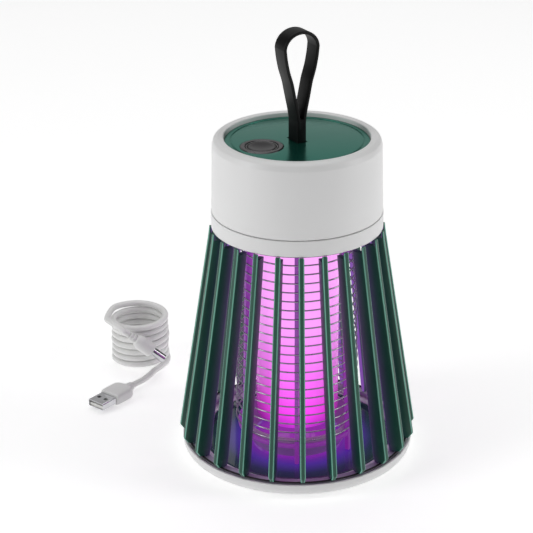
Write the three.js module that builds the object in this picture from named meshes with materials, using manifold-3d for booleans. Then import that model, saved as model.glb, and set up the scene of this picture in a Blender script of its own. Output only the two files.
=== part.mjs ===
// Rechargeable lantern-shaped bug zapper, in millimetres, +Z up, front towards -Y.
// The origin is on the ground, on the axis of the round body.
import * as THREE from 'three';
import { mergeVertices } from 'three/addons/utils/BufferGeometryUtils.js';
import Module from 'manifold-3d';

const wasm = await Module();
wasm.setup();

// ---- Driving dimensions ----
const GAP = 0.3; // between pieces that rest on or in each other
const SLIDE_GAP = 0.4; // between pieces that slide or turn on each other
const ROUND = 40; // steps round a turned piece
const ROUND_LARGE = 56; // steps round the outside of the body
const ROUND_WIRE = 24; // steps round a grid wire, with a corner at every post
const HEAD_TURN = 27.7; // degrees the head's own X axis is turned from the body's

// Base dish
const BASE_R = 65;
const BASE_UNDERCUT = 4.5; // how far the underside's edge lies inside the rim
const BASE_RIM_HEIGHT = 2.6; // above the ledge
const BASE_RIM_WALL = 1.4;
const BASE_FLOOR = 1.4;
const FOOT_DROP = 1;
const FOOT_DEPTH = 0.7;
const FOOT_INSET = 12; // from the base's outside to the middle of the foot
const FOOT_WIDTH = 5.4;
const LEDGE_HEIGHT = 4; // above the well's floor
const LEDGE_WIDTH = 10.6;
const TRAY_FLOOR = 1.3;
const SEAL_INSET = 0.4;
const SEAL_WIDTH = 2.8;
const SEAL_HEIGHT = 0.6;

// Bayonet between base and cage
const LUGS = 3;
const TWIST = 20; // degrees from locked to free
const LUG_INSET = 1.9; // from the outside of the cage's lower ring
const LUG_STEM = 1.4;
const LUG_FOOT = 4;
const LUG_FOOT_HEIGHT = 1.4;
const LUG_SPAN = 8; // degrees
const LUG_DROP = 3.4;
const LUG_CLEAR = 0.5;

// Fin cage
const FINS = 24;
const FIN_THICK = 3;
const FIN_HEIGHT = 124.2;
const FIN_OVERHANG_LOW = 1.7; // past the base, at the widest point
const FIN_OVERHANG_HIGH = 1.8; // past the collar, just under it
const FIN_DEPTH_LOW = 9.4;
const FIN_DEPTH_HIGH = 7.5;
const FIN_CHAMFER = 2.3;
const FIN_CHAMFER_HEIGHT = 3.3;
const FIN_TOP_BEND = 6; // height of the bent stretch under the collar
const FIN_TOP_LIP = 1.2; // how far a fin stands out of the cage at its top
const CAGE_INSET = 0.2; // from the collar's outside to the cage's
const CAGE_RING_WIDTH = 4;
const CAGE_RING_HEIGHT = 2.4;
const TOP_RING_HEIGHT = 3.1;

// Collar and head
const COLLAR_R = 46.7;
const COLLAR_WALL = 8.2;
const COLLAR_HEIGHT = 8.8;
const CAP_STEP = 0.3; // in from the collar
const CAP_TAPER = 0.9;
const CAP_WALL = 2.8;
const CAP_HEIGHT = 41.4;
const CAP_ROUND = 3.1;
const CAP_RIM = 6.3; // width of the rim round the top panel
const PANEL_RECESS = 2.3;
const PANEL_THICK = 2;
const PANEL_SEAT = 2.8;
const GROOVE_INSET = 3.2;
const GROOVE_WIDTH = 0.6;
const GROOVE_DEPTH = 0.4;
const FLOOR_THICK = 2;
const SPIGOT_WALL = 2.1;
const SPIGOT_DEPTH = 7;

// Power button, on the head's -X side
const BUTTON_INSET = 17.2; // from the panel's edge to the button's middle
const BEZEL_R = 11.5;
const BEZEL_PROUD = 0.3;
const BEZEL_FLANGE = 1;
const LIGHT_RING_R = 8.5;
const LIGHT_RING_WALL = 0.6;
const BUTTON_R = 7.5;
const BUTTON_DISH_R = 6;
const BUTTON_DISH = 0.8;
const BUTTON_HEIGHT = 3.5;
const BUTTON_TRAVEL = 0.8;

// Carry strap
const STRAP_WIDTH = 10.5;
const STRAP_THICK = 1.8;
const STRAP_ROOT = 5.2; // thickness where the two legs are one
const STRAP_PIVOT_HEIGHT = 2.4; // above the panel
const STRAP_RISE = 58.1; // above the pivot
const STRAP_SWING_GAP = 0.6; // round the root, in the slot
// Half width of the loop's outside, and height above the pivot
const STRAP_SIDE = [[STRAP_ROOT / 2, 9], [4.5, 19.5], [6.7, 30], [8.9, 37], [10.2, 43.5]];
const STRAP_BULGE = 10.75;
const STRAP_BULGE_RISE = 48.5;
const STRAP_NOTCH_RISE = 10;

// Electric grid and lamp
const WIRE = 0.9;
const WIRE_PITCH = 5.2;
const WIRE_TOP_CLEAR = 14; // least distance from the top wire to the head floor
const WIRE_START = 5.5; // above the frame's lower ring
const GRID_FLARE = 3; // how much wider the grid is at its lowest wire
const GRID_TO_SPIGOT = 4.5;
const POSTS = 6;
const POST_WIDTH = 2.3;
const POST_DEPTH = 2.4;
const POST_END_CLEAR = 0.6; // above the tray
const GRID_RING_HEIGHT = 4;
const GRID_RING_CLEAR = 10; // above the tray
const BUS_OFFSET = 0.75;
const BOWL_INSET = 8; // from the lowest wire to the bowl's foot
const BOWL_CLEAR = 1.2; // above the tray
const BOWL_WALL = 1.3;
const LAMP_TO_GRID = 8.5;
const LAMP_WALL = 1.5;
const LAMP_END_CLEAR = 6; // above the frame's lower ring
const LAMP_CLAMP_WALL = 2.6;
const LAMP_CLAMP_HEIGHT = 6;
const LED_BOARD_THICK = 1.6;
const LED_EDGE_CLEAR = 5.5; // from the lamp's wall, at each side
const LED_END_CLEAR = 11.9; // from the lamp's end
const LED_CHIP = [5, 1.2, 5];
const LED_ROWS = 8;

// Electronics in the head
const BOARD_DROP = 11; // below the top of the panel
const BOARD_THICK = 1.6;
const CELL_R = 9.2;
const CELL_LENGTH = 65;
const CELL_NUB = [3, 1.5];
const SWITCH_SIZE = [6, 6, 3.4];
const SWITCH_STEM_R = 1.7;
const TRANSFORMER = [14, 18, 13];
const TRANSFORMER_AT = [-22, 0];
const CAPACITOR = [9, 13, 10];
const CAPACITOR_AT = [17.5, 0];
const JACK_BODY = [12, 9, 11];
const JACK_NOSE_R = 3.8;
const JACK_BORE_R = 2.85;
const JACK_BORE_DEPTH = 10;
const JACK_PIN_R = 1;
const JACK_PROUD = 0.5;

// Charging cable, coiled beside the lamp
const CORD = 3.8;
const COIL_AT = [-93, 107.5];
const COIL_R = 16; // at the middle of a turn
const COIL_TURNS = 9;
const COIL_PITCH = 3.85;
const CORD_SIDES = 8;
const DC_NECK = [-5.2, -23, 28.8];
const DC_AIM = [0.776, 0, -0.631];
const DC_NECK_LENGTH = 5;
const DC_BODY_R = 4.6;
const DC_BODY_LENGTH = 12;
const DC_BARREL_R = 2.75;
const DC_BARREL_BORE = 1.05;
const DC_BARREL_LENGTH = 9;
const USB_NECK = [-4, -42, 4.2];
const USB_AIM = [-0.65, -0.76, 0];
const USB_NECK_LENGTH = 5;
const USB_BODY = [15, 14.5, 7.5];
const USB_SHELL = [11, 12, 4.5];
const USB_SHELL_WALL = 0.5;
const USB_TONGUE = 1.9;
// Routes, from the coil's middle, between the plug's neck and the coil's outside
const DC_ROUTE = [[-19.6, -6, 32.6], [-18, -12, 33.2], [-14.4, -17.4, 33.4], [-11.4, -20.8, 32.9]];
const USB_ROUTE = [[8.9, -18.2, 2.1], [6.4, -23.6, 2.1], [4, -28.8, 2.5], [1.8, -33.6, 3.2]];

// ---- Sizes that follow ----
const underZ = FOOT_DROP;
const floorTop = underZ + BASE_FLOOR;
const baseUnderR = BASE_R - BASE_UNDERCUT;
const ledgeZ = floorTop + LEDGE_HEIGHT;
const baseTop = ledgeZ + BASE_RIM_HEIGHT;
const trayR = BASE_R - BASE_RIM_WALL - LEDGE_WIDTH - GAP;
const trayTop = floorTop + GAP + TRAY_FLOOR;
const footR = BASE_R - FOOT_INSET;
const sealR = BASE_R - SEAL_INSET - SEAL_WIDTH / 2;
const ringOut = sealR - SEAL_WIDTH / 2 - GAP;
const ringIn = ringOut - CAGE_RING_WIDTH;
const ringLowZ = ledgeZ + GAP;
const ringTopZ = ringLowZ + CAGE_RING_HEIGHT;
const lugR = ringOut - LUG_INSET;
const sealTopZ = baseTop + GAP + SEAL_HEIGHT;
const finLowZ = sealTopZ + GAP;
const finHighZ = finLowZ + FIN_HEIGHT;
const finOutLow = BASE_R + FIN_OVERHANG_LOW;
const finOutHigh = COLLAR_R + FIN_OVERHANG_HIGH;
const topRingZ = finHighZ - TOP_RING_HEIGHT;
const collarZ = finHighZ + GAP;
const collarTop = collarZ + COLLAR_HEIGHT;
const collarBore = COLLAR_R - COLLAR_WALL;
const capLowZ = collarTop + SLIDE_GAP;
const capTop = capLowZ + CAP_HEIGHT;
const capRLow = COLLAR_R - CAP_STEP;
const capRHigh = capRLow - CAP_TAPER;
const capBore = capRLow - CAP_WALL;
const headFloorZ = capLowZ + GAP;
const headFloorTop = headFloorZ + FLOOR_THICK;
const hangZ = headFloorZ - GAP; // top of what hangs under the head floor
const panelR = capRHigh - CAP_RIM - SLIDE_GAP;
const panelTop = capTop - PANEL_RECESS;
const panelLowZ = panelTop - PANEL_THICK;
const grooveR = panelR - GROOVE_INSET;
const seatZ = panelLowZ - GAP;
const buttonX = BUTTON_INSET - panelR;
const strapPivotZ = panelTop + STRAP_PIVOT_HEIGHT;
const strapTop = strapPivotZ + STRAP_RISE;
const jackZ = headFloorTop + GAP + JACK_BODY[2] / 2;
const boardZ = panelTop - BOARD_DROP;
const boardTop = boardZ + BOARD_THICK;
const gridRHigh = collarBore - SLIDE_GAP - SPIGOT_WALL - GRID_TO_SPIGOT;
const gridRLow = gridRHigh + GRID_FLARE;
const postEndZ = trayTop + POST_END_CLEAR;
const gridRingLowZ = trayTop + GRID_RING_CLEAR;
const wireLowZ = gridRingLowZ + WIRE_START;
const wires = Math.floor((hangZ - WIRE_TOP_CLEAR - wireLowZ) / WIRE_PITCH) + 1;
const wireTopZ = wireLowZ + (wires - 1) * WIRE_PITCH;
const bowlLowR = gridRLow - BOWL_INSET;
const bowlLowZ = trayTop + BOWL_CLEAR;
const lampR = gridRHigh - LAMP_TO_GRID;
const lampEndZ = gridRingLowZ + LAMP_END_CLEAR;
const ledBoardWidth = 2 * (lampR - LAMP_WALL - LED_EDGE_CLEAR);
const ledBoardHeight = hangZ - lampEndZ - LED_END_CLEAR;
const coilHeight = COIL_TURNS * COIL_PITCH;

const finOut = (z) => {
  const lowZ = finLowZ + FIN_CHAMFER_HEIGHT;
  const slope = (finOutHigh - finOutLow) / (finHighZ - FIN_TOP_BEND - lowZ);
  return finOutLow + slope * (z - lowZ);
};
const gridR = (z) =>
  gridRLow + ((gridRHigh - gridRLow) * (z - wireLowZ)) / (wireTopZ - wireLowZ);
const postOut = (z) => gridR(z) - WIRE / 2 - GAP;

// ---- Materials ----
const paint = (color, roughness, metalness = 0) =>
  new THREE.MeshStandardMaterial({ color, roughness, metalness });
const whitePlastic = paint(0xdcdcda, 0.45);
const finGreen = paint(0x1f5443, 0.35);
const panelGreen = paint(0x44756a, 0.3);
const trayGreen = paint(0x16352f, 0.2);
const blackRubber = paint(0x1b1b1c, 0.6);
const darkMetal = paint(0x4c4648, 0.3, 0.7);
const greyPlastic = paint(0x77727a, 0.4);
const lampPlastic = paint(0xf4c8ff, 0.25);
const steel = paint(0xc9c9cc, 0.25, 1);
const boardGreen = paint(0x1f5c37, 0.5);
const cellBlue = paint(0x3a62a8, 0.4);
const darkPart = paint(0x262629, 0.5);
const cordWhite = paint(0xe9e9e8, 0.5);

// ---- Shape tools ----
const rad = THREE.MathUtils.degToRad;

// A turned piece: [radius, height] points, up the outside and down the inside.
function turned(profile, steps = ROUND) {
  const points = profile.map(([r, z]) => new THREE.Vector2(r, z));
  return new THREE.LatheGeometry(points, steps).rotateX(Math.PI / 2);
}

// A ring of rectangular section.
function ring(inner, outer, low, high, steps = ROUND) {
  return turned([[outer, low], [outer, high], [inner, high], [inner, low], [outer, low]], steps);
}

// A round bar from low to high.
function disc(radius, low, high, steps = ROUND) {
  return turned([[0, low], [radius, low], [radius, high], [0, high]], steps);
}

// A flat outline in X and Z, made thick along Y and centred on it.
function slab(points, thick) {
  const shape = new THREE.Shape(points.map(([x, z]) => new THREE.Vector2(x, z)));
  const geometry = new THREE.ExtrudeGeometry(shape, { depth: thick, bevelEnabled: false });
  return geometry.rotateX(Math.PI / 2).translate(0, thick / 2, 0);
}

// An arc-shaped block between two radii and two angles in degrees.
function arcBlock(inner, outer, from, to, low, high) {
  const shape = new THREE.Shape();
  shape.absarc(0, 0, outer, rad(from), rad(to), false);
  shape.absarc(0, 0, inner, rad(to), rad(from), true);
  const options = { depth: high - low, bevelEnabled: false, curveSegments: 6 };
  return new THREE.ExtrudeGeometry(shape, options).translate(0, 0, low);
}

// A block from its size and its middle.
function block([x, y, z], [cx, cy, cz] = [0, 0, 0]) {
  return new THREE.BoxGeometry(x, y, z).translate(cx, cy, cz);
}

function solid(geometry) {
  const bare = geometry.clone();
  bare.deleteAttribute('normal');
  bare.deleteAttribute('uv');
  const merged = mergeVertices(bare, 1e-4);
  const faces = [];
  const index = merged.index.array;
  for (let i = 0; i < index.length; i += 3) {
    const [a, b, c] = [index[i], index[i + 1], index[i + 2]];
    if (a !== b && b !== c && c !== a) faces.push(a, b, c);
  }
  return new wasm.Manifold(new wasm.Mesh({
    numProp: 3, vertProperties: merged.attributes.position.array, triVerts: Uint32Array.from(faces),
  }));
}

function geometryOf(made) {
  const { vertProperties, triVerts } = made.getMesh();
  const geometry = new THREE.BufferGeometry();
  geometry.setAttribute('position', new THREE.BufferAttribute(vertProperties, 3));
  geometry.setIndex(new THREE.BufferAttribute(triVerts, 1));
  return geometry;
}

const join = (...pieces) => geometryOf(pieces.map(solid).reduce((a, b) => a.add(b)));
const cut = (body, ...tools) => geometryOf(tools.map(solid).reduce((a, b) => a.subtract(b), solid(body)));

function add(group, name, geometry, material) {
  const mesh = new THREE.Mesh(geometry, material);
  mesh.name = name;
  group.add(mesh);
  return mesh;
}

// ---- Base: dish, tray, seal and foot ----
function baseShell() {
  const dish = turned([
    [0, underZ], [baseUnderR, underZ], [baseUnderR + 2.6, underZ + 1], [BASE_R - 0.5, underZ + 2.9],
    [BASE_R, underZ + 5], [BASE_R, baseTop], [BASE_R - BASE_RIM_WALL, baseTop],
    [BASE_R - BASE_RIM_WALL, ledgeZ], [trayR + GAP, ledgeZ], [trayR + GAP, floorTop], [0, floorTop],
  ], ROUND_LARGE);
  const footIn = footR - FOOT_WIDTH / 2 - GAP;
  const footOut = footR + FOOT_WIDTH / 2 + GAP;
  const groove = ring(footIn, footOut, underZ - 1, underZ + FOOT_DEPTH + GAP);
  return cut(dish, groove, ...bayonetPockets());
}

// Each pocket: a channel under the ledge, a narrow slot over it, and a wide way in at its free end.
function bayonetPockets() {
  const footLow = ledgeZ - LUG_DROP - LUG_CLEAR;
  const footHigh = ledgeZ - LUG_DROP + LUG_FOOT_HEIGHT + LUG_CLEAR;
  const wide = LUG_FOOT / 2 + LUG_CLEAR;
  const narrow = LUG_STEM / 2 + LUG_CLEAR;
  const half = LUG_SPAN / 2;
  const pockets = [];
  for (let i = 0; i < LUGS; i += 1) {
    const at = lugAngle(i);
    const end = at + TWIST + half + 2;
    pockets.push(
      arcBlock(lugR - wide, lugR + wide, at - half - 2, end, footLow, footHigh),
      arcBlock(lugR - narrow, lugR + narrow, at - half - 2, end, footLow, ledgeZ + 1),
      arcBlock(lugR - wide, lugR + wide, at + TWIST - half - 1.5, end, footLow, ledgeZ + 1),
    );
  }
  return pockets;
}

const lugAngle = (i) => 30 + (i * 360) / LUGS;

function insectTray() {
  const low = floorTop + GAP;
  const rimTop = ledgeZ - GAP;
  return turned([
    [0, low], [trayR, low], [trayR, rimTop], [trayR - 1.2, rimTop], [trayR - 2.6, trayTop], [0, trayTop],
  ]);
}

function makeBase() {
  const base = new THREE.Group();
  add(base, 'base_shell', baseShell(), whitePlastic);
  add(base, 'insect_tray', insectTray(), trayGreen);
  const sealLow = baseTop + GAP;
  const seal = ring(sealR - SEAL_WIDTH / 2, sealR + SEAL_WIDTH / 2, sealLow, sealTopZ);
  add(base, 'seal_ring', seal, blackRubber);
  const foot = ring(footR - FOOT_WIDTH / 2, footR + FOOT_WIDTH / 2, 0, underZ + FOOT_DEPTH);
  add(base, 'foot_ring', foot, blackRubber);
  return base;
}

// ---- Cage: fins between two rings, and the collar ----
function fin() {
  const inner = (z) => {
    const share = (z - finLowZ) / (finHighZ - finLowZ);
    return finOut(z) - FIN_DEPTH_LOW - (FIN_DEPTH_HIGH - FIN_DEPTH_LOW) * share;
  };
  const ringSeat = ringTopZ + GAP;
  const underTop = topRingZ - GAP;
  const topIn = COLLAR_R - CAGE_INSET;
  const outline = [
    [inner(ringSeat), ringSeat], [ringOut, ringSeat], [ringOut, finLowZ],
    [finOutLow - FIN_CHAMFER, finLowZ], [finOutLow, finLowZ + FIN_CHAMFER_HEIGHT],
    [finOutHigh, finHighZ - FIN_TOP_BEND], [topIn + FIN_TOP_LIP, finHighZ], [topIn, finHighZ],
    [topIn, underTop], [inner(underTop), underTop],
  ];
  return slab(outline, FIN_THICK);
}

function cageLowRing() {
  const ringBody = ring(ringIn, ringOut, ringLowZ, ringTopZ);
  const footLow = ledgeZ - LUG_DROP;
  const half = LUG_SPAN / 2;
  const lugs = [];
  for (let i = 0; i < LUGS; i += 1) {
    const [from, to] = [lugAngle(i) - half, lugAngle(i) + half];
    lugs.push(
      arcBlock(lugR - LUG_STEM / 2, lugR + LUG_STEM / 2, from, to, footLow, ringLowZ + 1),
      arcBlock(lugR - LUG_FOOT / 2, lugR + LUG_FOOT / 2, from, to, footLow, footLow + LUG_FOOT_HEIGHT),
    );
  }
  return join(ringBody, ...lugs);
}

function makeCage() {
  const cage = new THREE.Group();
  for (let i = 0; i < FINS; i += 1) {
    const mesh = add(cage, `fin_${String(i + 1).padStart(2, '0')}`, fin(), finGreen);
    mesh.rotation.z = rad(-90 + (i * 360) / FINS);
  }
  add(cage, 'cage_low_ring', cageLowRing(), finGreen);
  const topRing = ring(collarBore + 1, COLLAR_R - CAGE_INSET - GAP, topRingZ, finHighZ);
  add(cage, 'cage_top_ring', topRing, finGreen);
  add(cage, 'collar', ring(collarBore, COLLAR_R, collarZ, collarTop, ROUND_LARGE), whitePlastic);
  return cage;
}

// ---- Head: cap, floor, top panel ----
function capShell() {
  const seatIn = panelR - PANEL_SEAT;
  const rimIn = panelR + SLIDE_GAP;
  const roundZ = capTop - CAP_ROUND;
  const shell = turned([
    [capRLow, capLowZ], [capRHigh, roundZ - 1], [capRHigh - 0.5, roundZ + 1.1],
    [capRHigh - 1.5, capTop - 0.6], [capRHigh - 3, capTop], [rimIn + 1, capTop],
    [rimIn, capTop - 0.8], [rimIn, seatZ], [seatIn, seatZ], [seatIn, seatZ - 1.5],
    [capBore - 0.3, seatZ - 4], [capBore, capLowZ], [capRLow, capLowZ],
  ], ROUND_LARGE);
  const hole = disc(JACK_NOSE_R + GAP, capRHigh - CAP_WALL - 3, capRLow + 3, 24);
  return cut(shell, hole.rotateY(Math.PI / 2).translate(0, 0, jackZ));
}

function headFloor() {
  const plate = disc(capBore - SLIDE_GAP, headFloorZ, headFloorTop);
  const out = collarBore - SLIDE_GAP;
  const spigot = ring(out - SPIGOT_WALL, out, collarTop - SPIGOT_DEPTH, headFloorZ + 1);
  return join(plate, spigot);
}

function topPanel() {
  const plate = disc(panelR, panelLowZ, panelTop, ROUND_LARGE);
  const grooveIn = grooveR - GROOVE_WIDTH / 2;
  const groove = ring(grooveIn, grooveIn + GROOVE_WIDTH, panelTop - GROOVE_DEPTH, panelTop + 1);
  const bezelSeat = disc(BEZEL_R + GAP, bezelLowZ - GAP, panelTop + 1, 40).translate(buttonX, 0, 0);
  const through = disc(bezelSleeve + GAP, panelLowZ - 1, panelTop + 1, 40).translate(buttonX, 0, 0);
  const slot = block([slotX, slotY, PANEL_THICK * 3], [0, 0, panelTop]);
  return cut(plate, groove, bezelSeat, through, slot);
}

const slotX = STRAP_ROOT + 2 * STRAP_SWING_GAP;
const slotY = STRAP_WIDTH + 2 * STRAP_SWING_GAP;
const bezelIn = LIGHT_RING_R + GAP;
const bezelSleeve = bezelIn + 0.7;
const bezelLowZ = panelTop + BEZEL_PROUD - BEZEL_FLANGE;

// ---- Power button: bezel, light ring, dished cap and its switch ----
function buttonBezel() {
  const top = panelTop + BEZEL_PROUD;
  const low = panelLowZ - 2.5;
  return turned([
    [bezelSleeve, low], [bezelSleeve, bezelLowZ], [BEZEL_R, bezelLowZ], [BEZEL_R, top - 0.4],
    [BEZEL_R - 0.5, top], [bezelIn + 0.5, top], [bezelIn, top - 0.5], [bezelIn, low], [bezelSleeve, low],
  ], 40);
}

function powerButton() {
  const low = panelTop - BUTTON_HEIGHT;
  return turned([
    [0, low], [BUTTON_R, low], [BUTTON_R, panelTop - 0.4], [BUTTON_R - 0.4, panelTop],
    [BUTTON_DISH_R, panelTop], [BUTTON_DISH_R * 0.7, panelTop - BUTTON_DISH * 0.75],
    [0, panelTop - BUTTON_DISH],
  ], 32);
}

function tactSwitch() {
  const stemTop = panelTop - BUTTON_HEIGHT - BUTTON_TRAVEL - GAP;
  const low = boardTop + GAP;
  const body = block(SWITCH_SIZE, [buttonX, 0, low + SWITCH_SIZE[2] / 2]);
  const stem = disc(SWITCH_STEM_R, low + 1, stemTop, 16).translate(buttonX, 0, 0);
  return join(body, stem);
}

function addButton(head) {
  const top = panelTop + 0.1;
  const place = (mesh) => mesh.position.setX(buttonX);
  place(add(head, 'button_bezel', buttonBezel(), darkMetal));
  const light = ring(LIGHT_RING_R - LIGHT_RING_WALL, LIGHT_RING_R, panelLowZ - 2.5, top, 40);
  place(add(head, 'button_light_ring', light, lampPlastic));
  place(add(head, 'power_button', powerButton(), darkPart));
  add(head, 'power_switch', tactSwitch(), darkPart);
}

// ---- Carry strap and the anchor that holds its root ----
function strapOutline(inset, lowest) {
  const rise = (z) => strapPivotZ + z;
  const side = STRAP_SIDE.filter(([, z]) => z >= lowest);
  const right = side.map(([x, z]) => new THREE.Vector2(x - inset, rise(z)));
  const bulge = new THREE.Vector2(STRAP_BULGE - inset, rise(STRAP_BULGE_RISE));
  const left = (p) => new THREE.Vector2(-p.x, p.y);
  return { right: [...right, bulge], left: [bulge, ...right.reverse()].map(left), bulge };
}

// Half of the loop's rounded top, as points from the right bulge to the left one.
function strapCrown(inset) {
  const width = STRAP_BULGE - inset;
  const low = strapPivotZ + STRAP_BULGE_RISE;
  const height = strapTop - low - inset;
  const points = [];
  for (let i = 1; i < 12; i += 1) {
    const a = (Math.PI * i) / 12;
    points.push(new THREE.Vector2(width * Math.cos(a), low + height * Math.sin(a)));
  }
  return points;
}

function carryStrap() {
  const half = STRAP_ROOT / 2;
  const root = [];
  for (let i = 0; i <= 8; i += 1) {
    const a = Math.PI + (Math.PI * i) / 8;
    root.push(new THREE.Vector2(half * Math.cos(a), strapPivotZ + half * Math.sin(a)));
  }
  const outer = strapOutline(0, 0);
  const shape = new THREE.Shape([...root, ...outer.right, ...strapCrown(0), ...outer.left]);
  const hole = strapOutline(STRAP_THICK, STRAP_NOTCH_RISE + 1);
  const notch = new THREE.Vector2(0, strapPivotZ + STRAP_NOTCH_RISE);
  shape.holes.push(new THREE.Path([notch, ...hole.right, ...strapCrown(STRAP_THICK), ...hole.left]));
  const geometry = new THREE.ExtrudeGeometry(shape, { depth: STRAP_WIDTH, bevelEnabled: false });
  return geometry.rotateX(Math.PI / 2).translate(0, STRAP_WIDTH / 2, 0);
}

function strapAnchor() {
  const neckTop = strapPivotZ - STRAP_ROOT / 2 - SLIDE_GAP;
  const blockLow = boardTop + 2.5;
  const body = block([16, 15, seatZ - blockLow], [0, 0, (seatZ + blockLow) / 2]);
  const neck = block(
    [slotX - 2 * GAP, slotY - 2 * GAP, neckTop - seatZ + 1], [0, 0, (neckTop + seatZ - 1) / 2]);
  return join(body, neck);
}

// ---- Electric grid: frame, two sets of wire rings, the guard bowl ----
function gridFrame() {
  const ringOutTop = postOut(hangZ);
  const rings = [
    ring(ringOutTop - POST_DEPTH, ringOutTop, hangZ - GRID_RING_HEIGHT, hangZ),
    ring(postOut(gridRingLowZ) - POST_DEPTH, postOut(gridRingLowZ) - 0.3,
      gridRingLowZ, gridRingLowZ + 2),
  ];
  for (let i = 0; i < POSTS; i += 1) {
    const post = slab([
      [postOut(postEndZ) - POST_DEPTH, postEndZ], [postOut(postEndZ), postEndZ],
      [postOut(hangZ), hangZ], [postOut(hangZ) - POST_DEPTH, hangZ],
    ], POST_WIDTH);
    rings.push(post.rotateZ(rad(-90 + (i * 360) / POSTS)));
  }
  return join(...rings);
}

// Every second ring from the first one, tied by an upright wire outside the cone at the given angle.
function wireSet(first, angle) {
  const half = WIRE / 2;
  const pieces = [];
  for (let i = first; i < wires; i += 2) {
    const z = wireLowZ + i * WIRE_PITCH;
    const r = gridR(z);
    const section = [[r, z - half], [r + half, z], [r, z + half], [r - half, z], [r, z - half]];
    pieces.push(turned(section, ROUND_WIRE));
    const stub = block([BUS_OFFSET + 0.5, WIRE * 0.8, half], [r + 0.1 + BUS_OFFSET / 2, 0, z]);
    pieces.push(stub.rotateZ(rad(angle)));
  }
  const low = wireLowZ + first * WIRE_PITCH - half;
  const inside = (z) => gridR(z) + BUS_OFFSET;
  const upright = slab([
    [inside(low), low], [inside(low) + WIRE, low], [inside(hangZ) + WIRE, hangZ], [inside(hangZ), hangZ],
  ], WIRE);
  return join(...pieces, upright.rotateZ(rad(angle)));
}

function gridBowl() {
  const top = gridRingLowZ - GAP;
  const topR = postOut(top) - POST_DEPTH - GAP - 0.2;
  const turnIn = BOWL_WALL;
  return turned([
    [bowlLowR, bowlLowZ], [topR, top], [topR - turnIn, top],
    [bowlLowR - turnIn, bowlLowZ], [bowlLowR, bowlLowZ],
  ]);
}

// ---- Lamp: translucent tube, its clamp ring and the board of lights ----
function lampTube() {
  const inner = lampR - LAMP_WALL;
  return turned([
    [0, lampEndZ], [lampR - 1.5, lampEndZ], [lampR, lampEndZ + 1.5], [lampR, hangZ],
    [inner, hangZ], [inner, lampEndZ + LAMP_WALL], [0, lampEndZ + LAMP_WALL],
  ], 40);
}

function ledBoard() {
  const middle = hangZ - ledBoardHeight / 2;
  const pieces = [block([ledBoardWidth, LED_BOARD_THICK, ledBoardHeight], [0, 0, middle])];
  const step = ledBoardHeight / (LED_ROWS + 1);
  const chip = [LED_CHIP[0], LED_BOARD_THICK + 2 * LED_CHIP[1], LED_CHIP[2]];
  for (let i = 1; i <= LED_ROWS; i += 1) {
    const z = hangZ - ledBoardHeight + i * step;
    pieces.push(block(chip, [-ledBoardWidth / 4, 0, z]), block(chip, [ledBoardWidth / 4, 0, z]));
  }
  return join(...pieces);
}

// ---- Electronics ----
function dcJack() {
  const [long, wide, high] = JACK_BODY;
  const face = capRLow + JACK_PROUD;
  const backX = capBore - SLIDE_GAP - 1 - long;
  const body = block([long, wide, high], [backX + long / 2, 0, jackZ]);
  const along = (geometry) => geometry.rotateY(Math.PI / 2).translate(0, 0, jackZ);
  const nose = along(disc(JACK_NOSE_R, backX + long - 1, face, 32));
  const bore = along(disc(JACK_BORE_R, face - JACK_BORE_DEPTH, face + 1, 24));
  const pin = along(disc(JACK_PIN_R, face - JACK_BORE_DEPTH - 1, face - 1, 12));
  return geometryOf(solid(body).add(solid(nose)).subtract(solid(bore)).add(solid(pin)));
}

function batteryCell() {
  const [nubR, nubLength] = CELL_NUB;
  const end = CELL_LENGTH / 2;
  const cell = turned([
    [0, -end], [CELL_R - 0.8, -end], [CELL_R, 0.8 - end], [CELL_R, end - 0.8], [CELL_R - 0.8, end],
    [nubR, end], [nubR, end + nubLength], [0, end + nubLength],
  ], 28);
  return cell.rotateX(Math.PI / 2).translate(0, 0, headFloorTop + GAP + CELL_R);
}

function controlBoard() {
  return disc(capBore - 0.7, boardZ, boardTop);
}

function onHeadFloor(size, [x, y]) {
  return block(size, [x, y, headFloorTop + GAP + size[2] / 2]);
}

function makeHead() {
  const head = new THREE.Group();
  add(head, 'cap_shell', capShell(), whitePlastic);
  add(head, 'head_floor', headFloor(), whitePlastic);
  add(head, 'top_panel', topPanel(), panelGreen);
  addButton(head);
  add(head, 'strap_anchor', strapAnchor(), darkPart);
  add(head, 'carry_strap', carryStrap(), blackRubber);
  add(head, 'control_board', controlBoard(), boardGreen);
  add(head, 'battery_cell', batteryCell(), cellBlue);
  add(head, 'hv_transformer', onHeadFloor(TRANSFORMER, TRANSFORMER_AT), darkPart);
  add(head, 'hv_capacitor', onHeadFloor(CAPACITOR, CAPACITOR_AT), cellBlue);
  add(head, 'dc_jack', dcJack(), darkPart);
  head.rotation.z = rad(HEAD_TURN);
  return head;
}

function makeZapper() {
  const zapper = new THREE.Group();
  add(zapper, 'grid_frame', gridFrame(), greyPlastic);
  add(zapper, 'grid_wires_a', wireSet(0, 75), steel);
  add(zapper, 'grid_wires_b', wireSet(1, 105), steel);
  add(zapper, 'grid_bowl', gridBowl(), greyPlastic);
  add(zapper, 'lamp_tube', lampTube(), lampPlastic);
  const clampIn = lampR + GAP;
  const clamp = ring(clampIn, clampIn + LAMP_CLAMP_WALL, hangZ - LAMP_CLAMP_HEIGHT, hangZ);
  add(zapper, 'lamp_clamp', clamp, whitePlastic);
  add(zapper, 'led_board', ledBoard(), boardGreen);
  return zapper;
}

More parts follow.
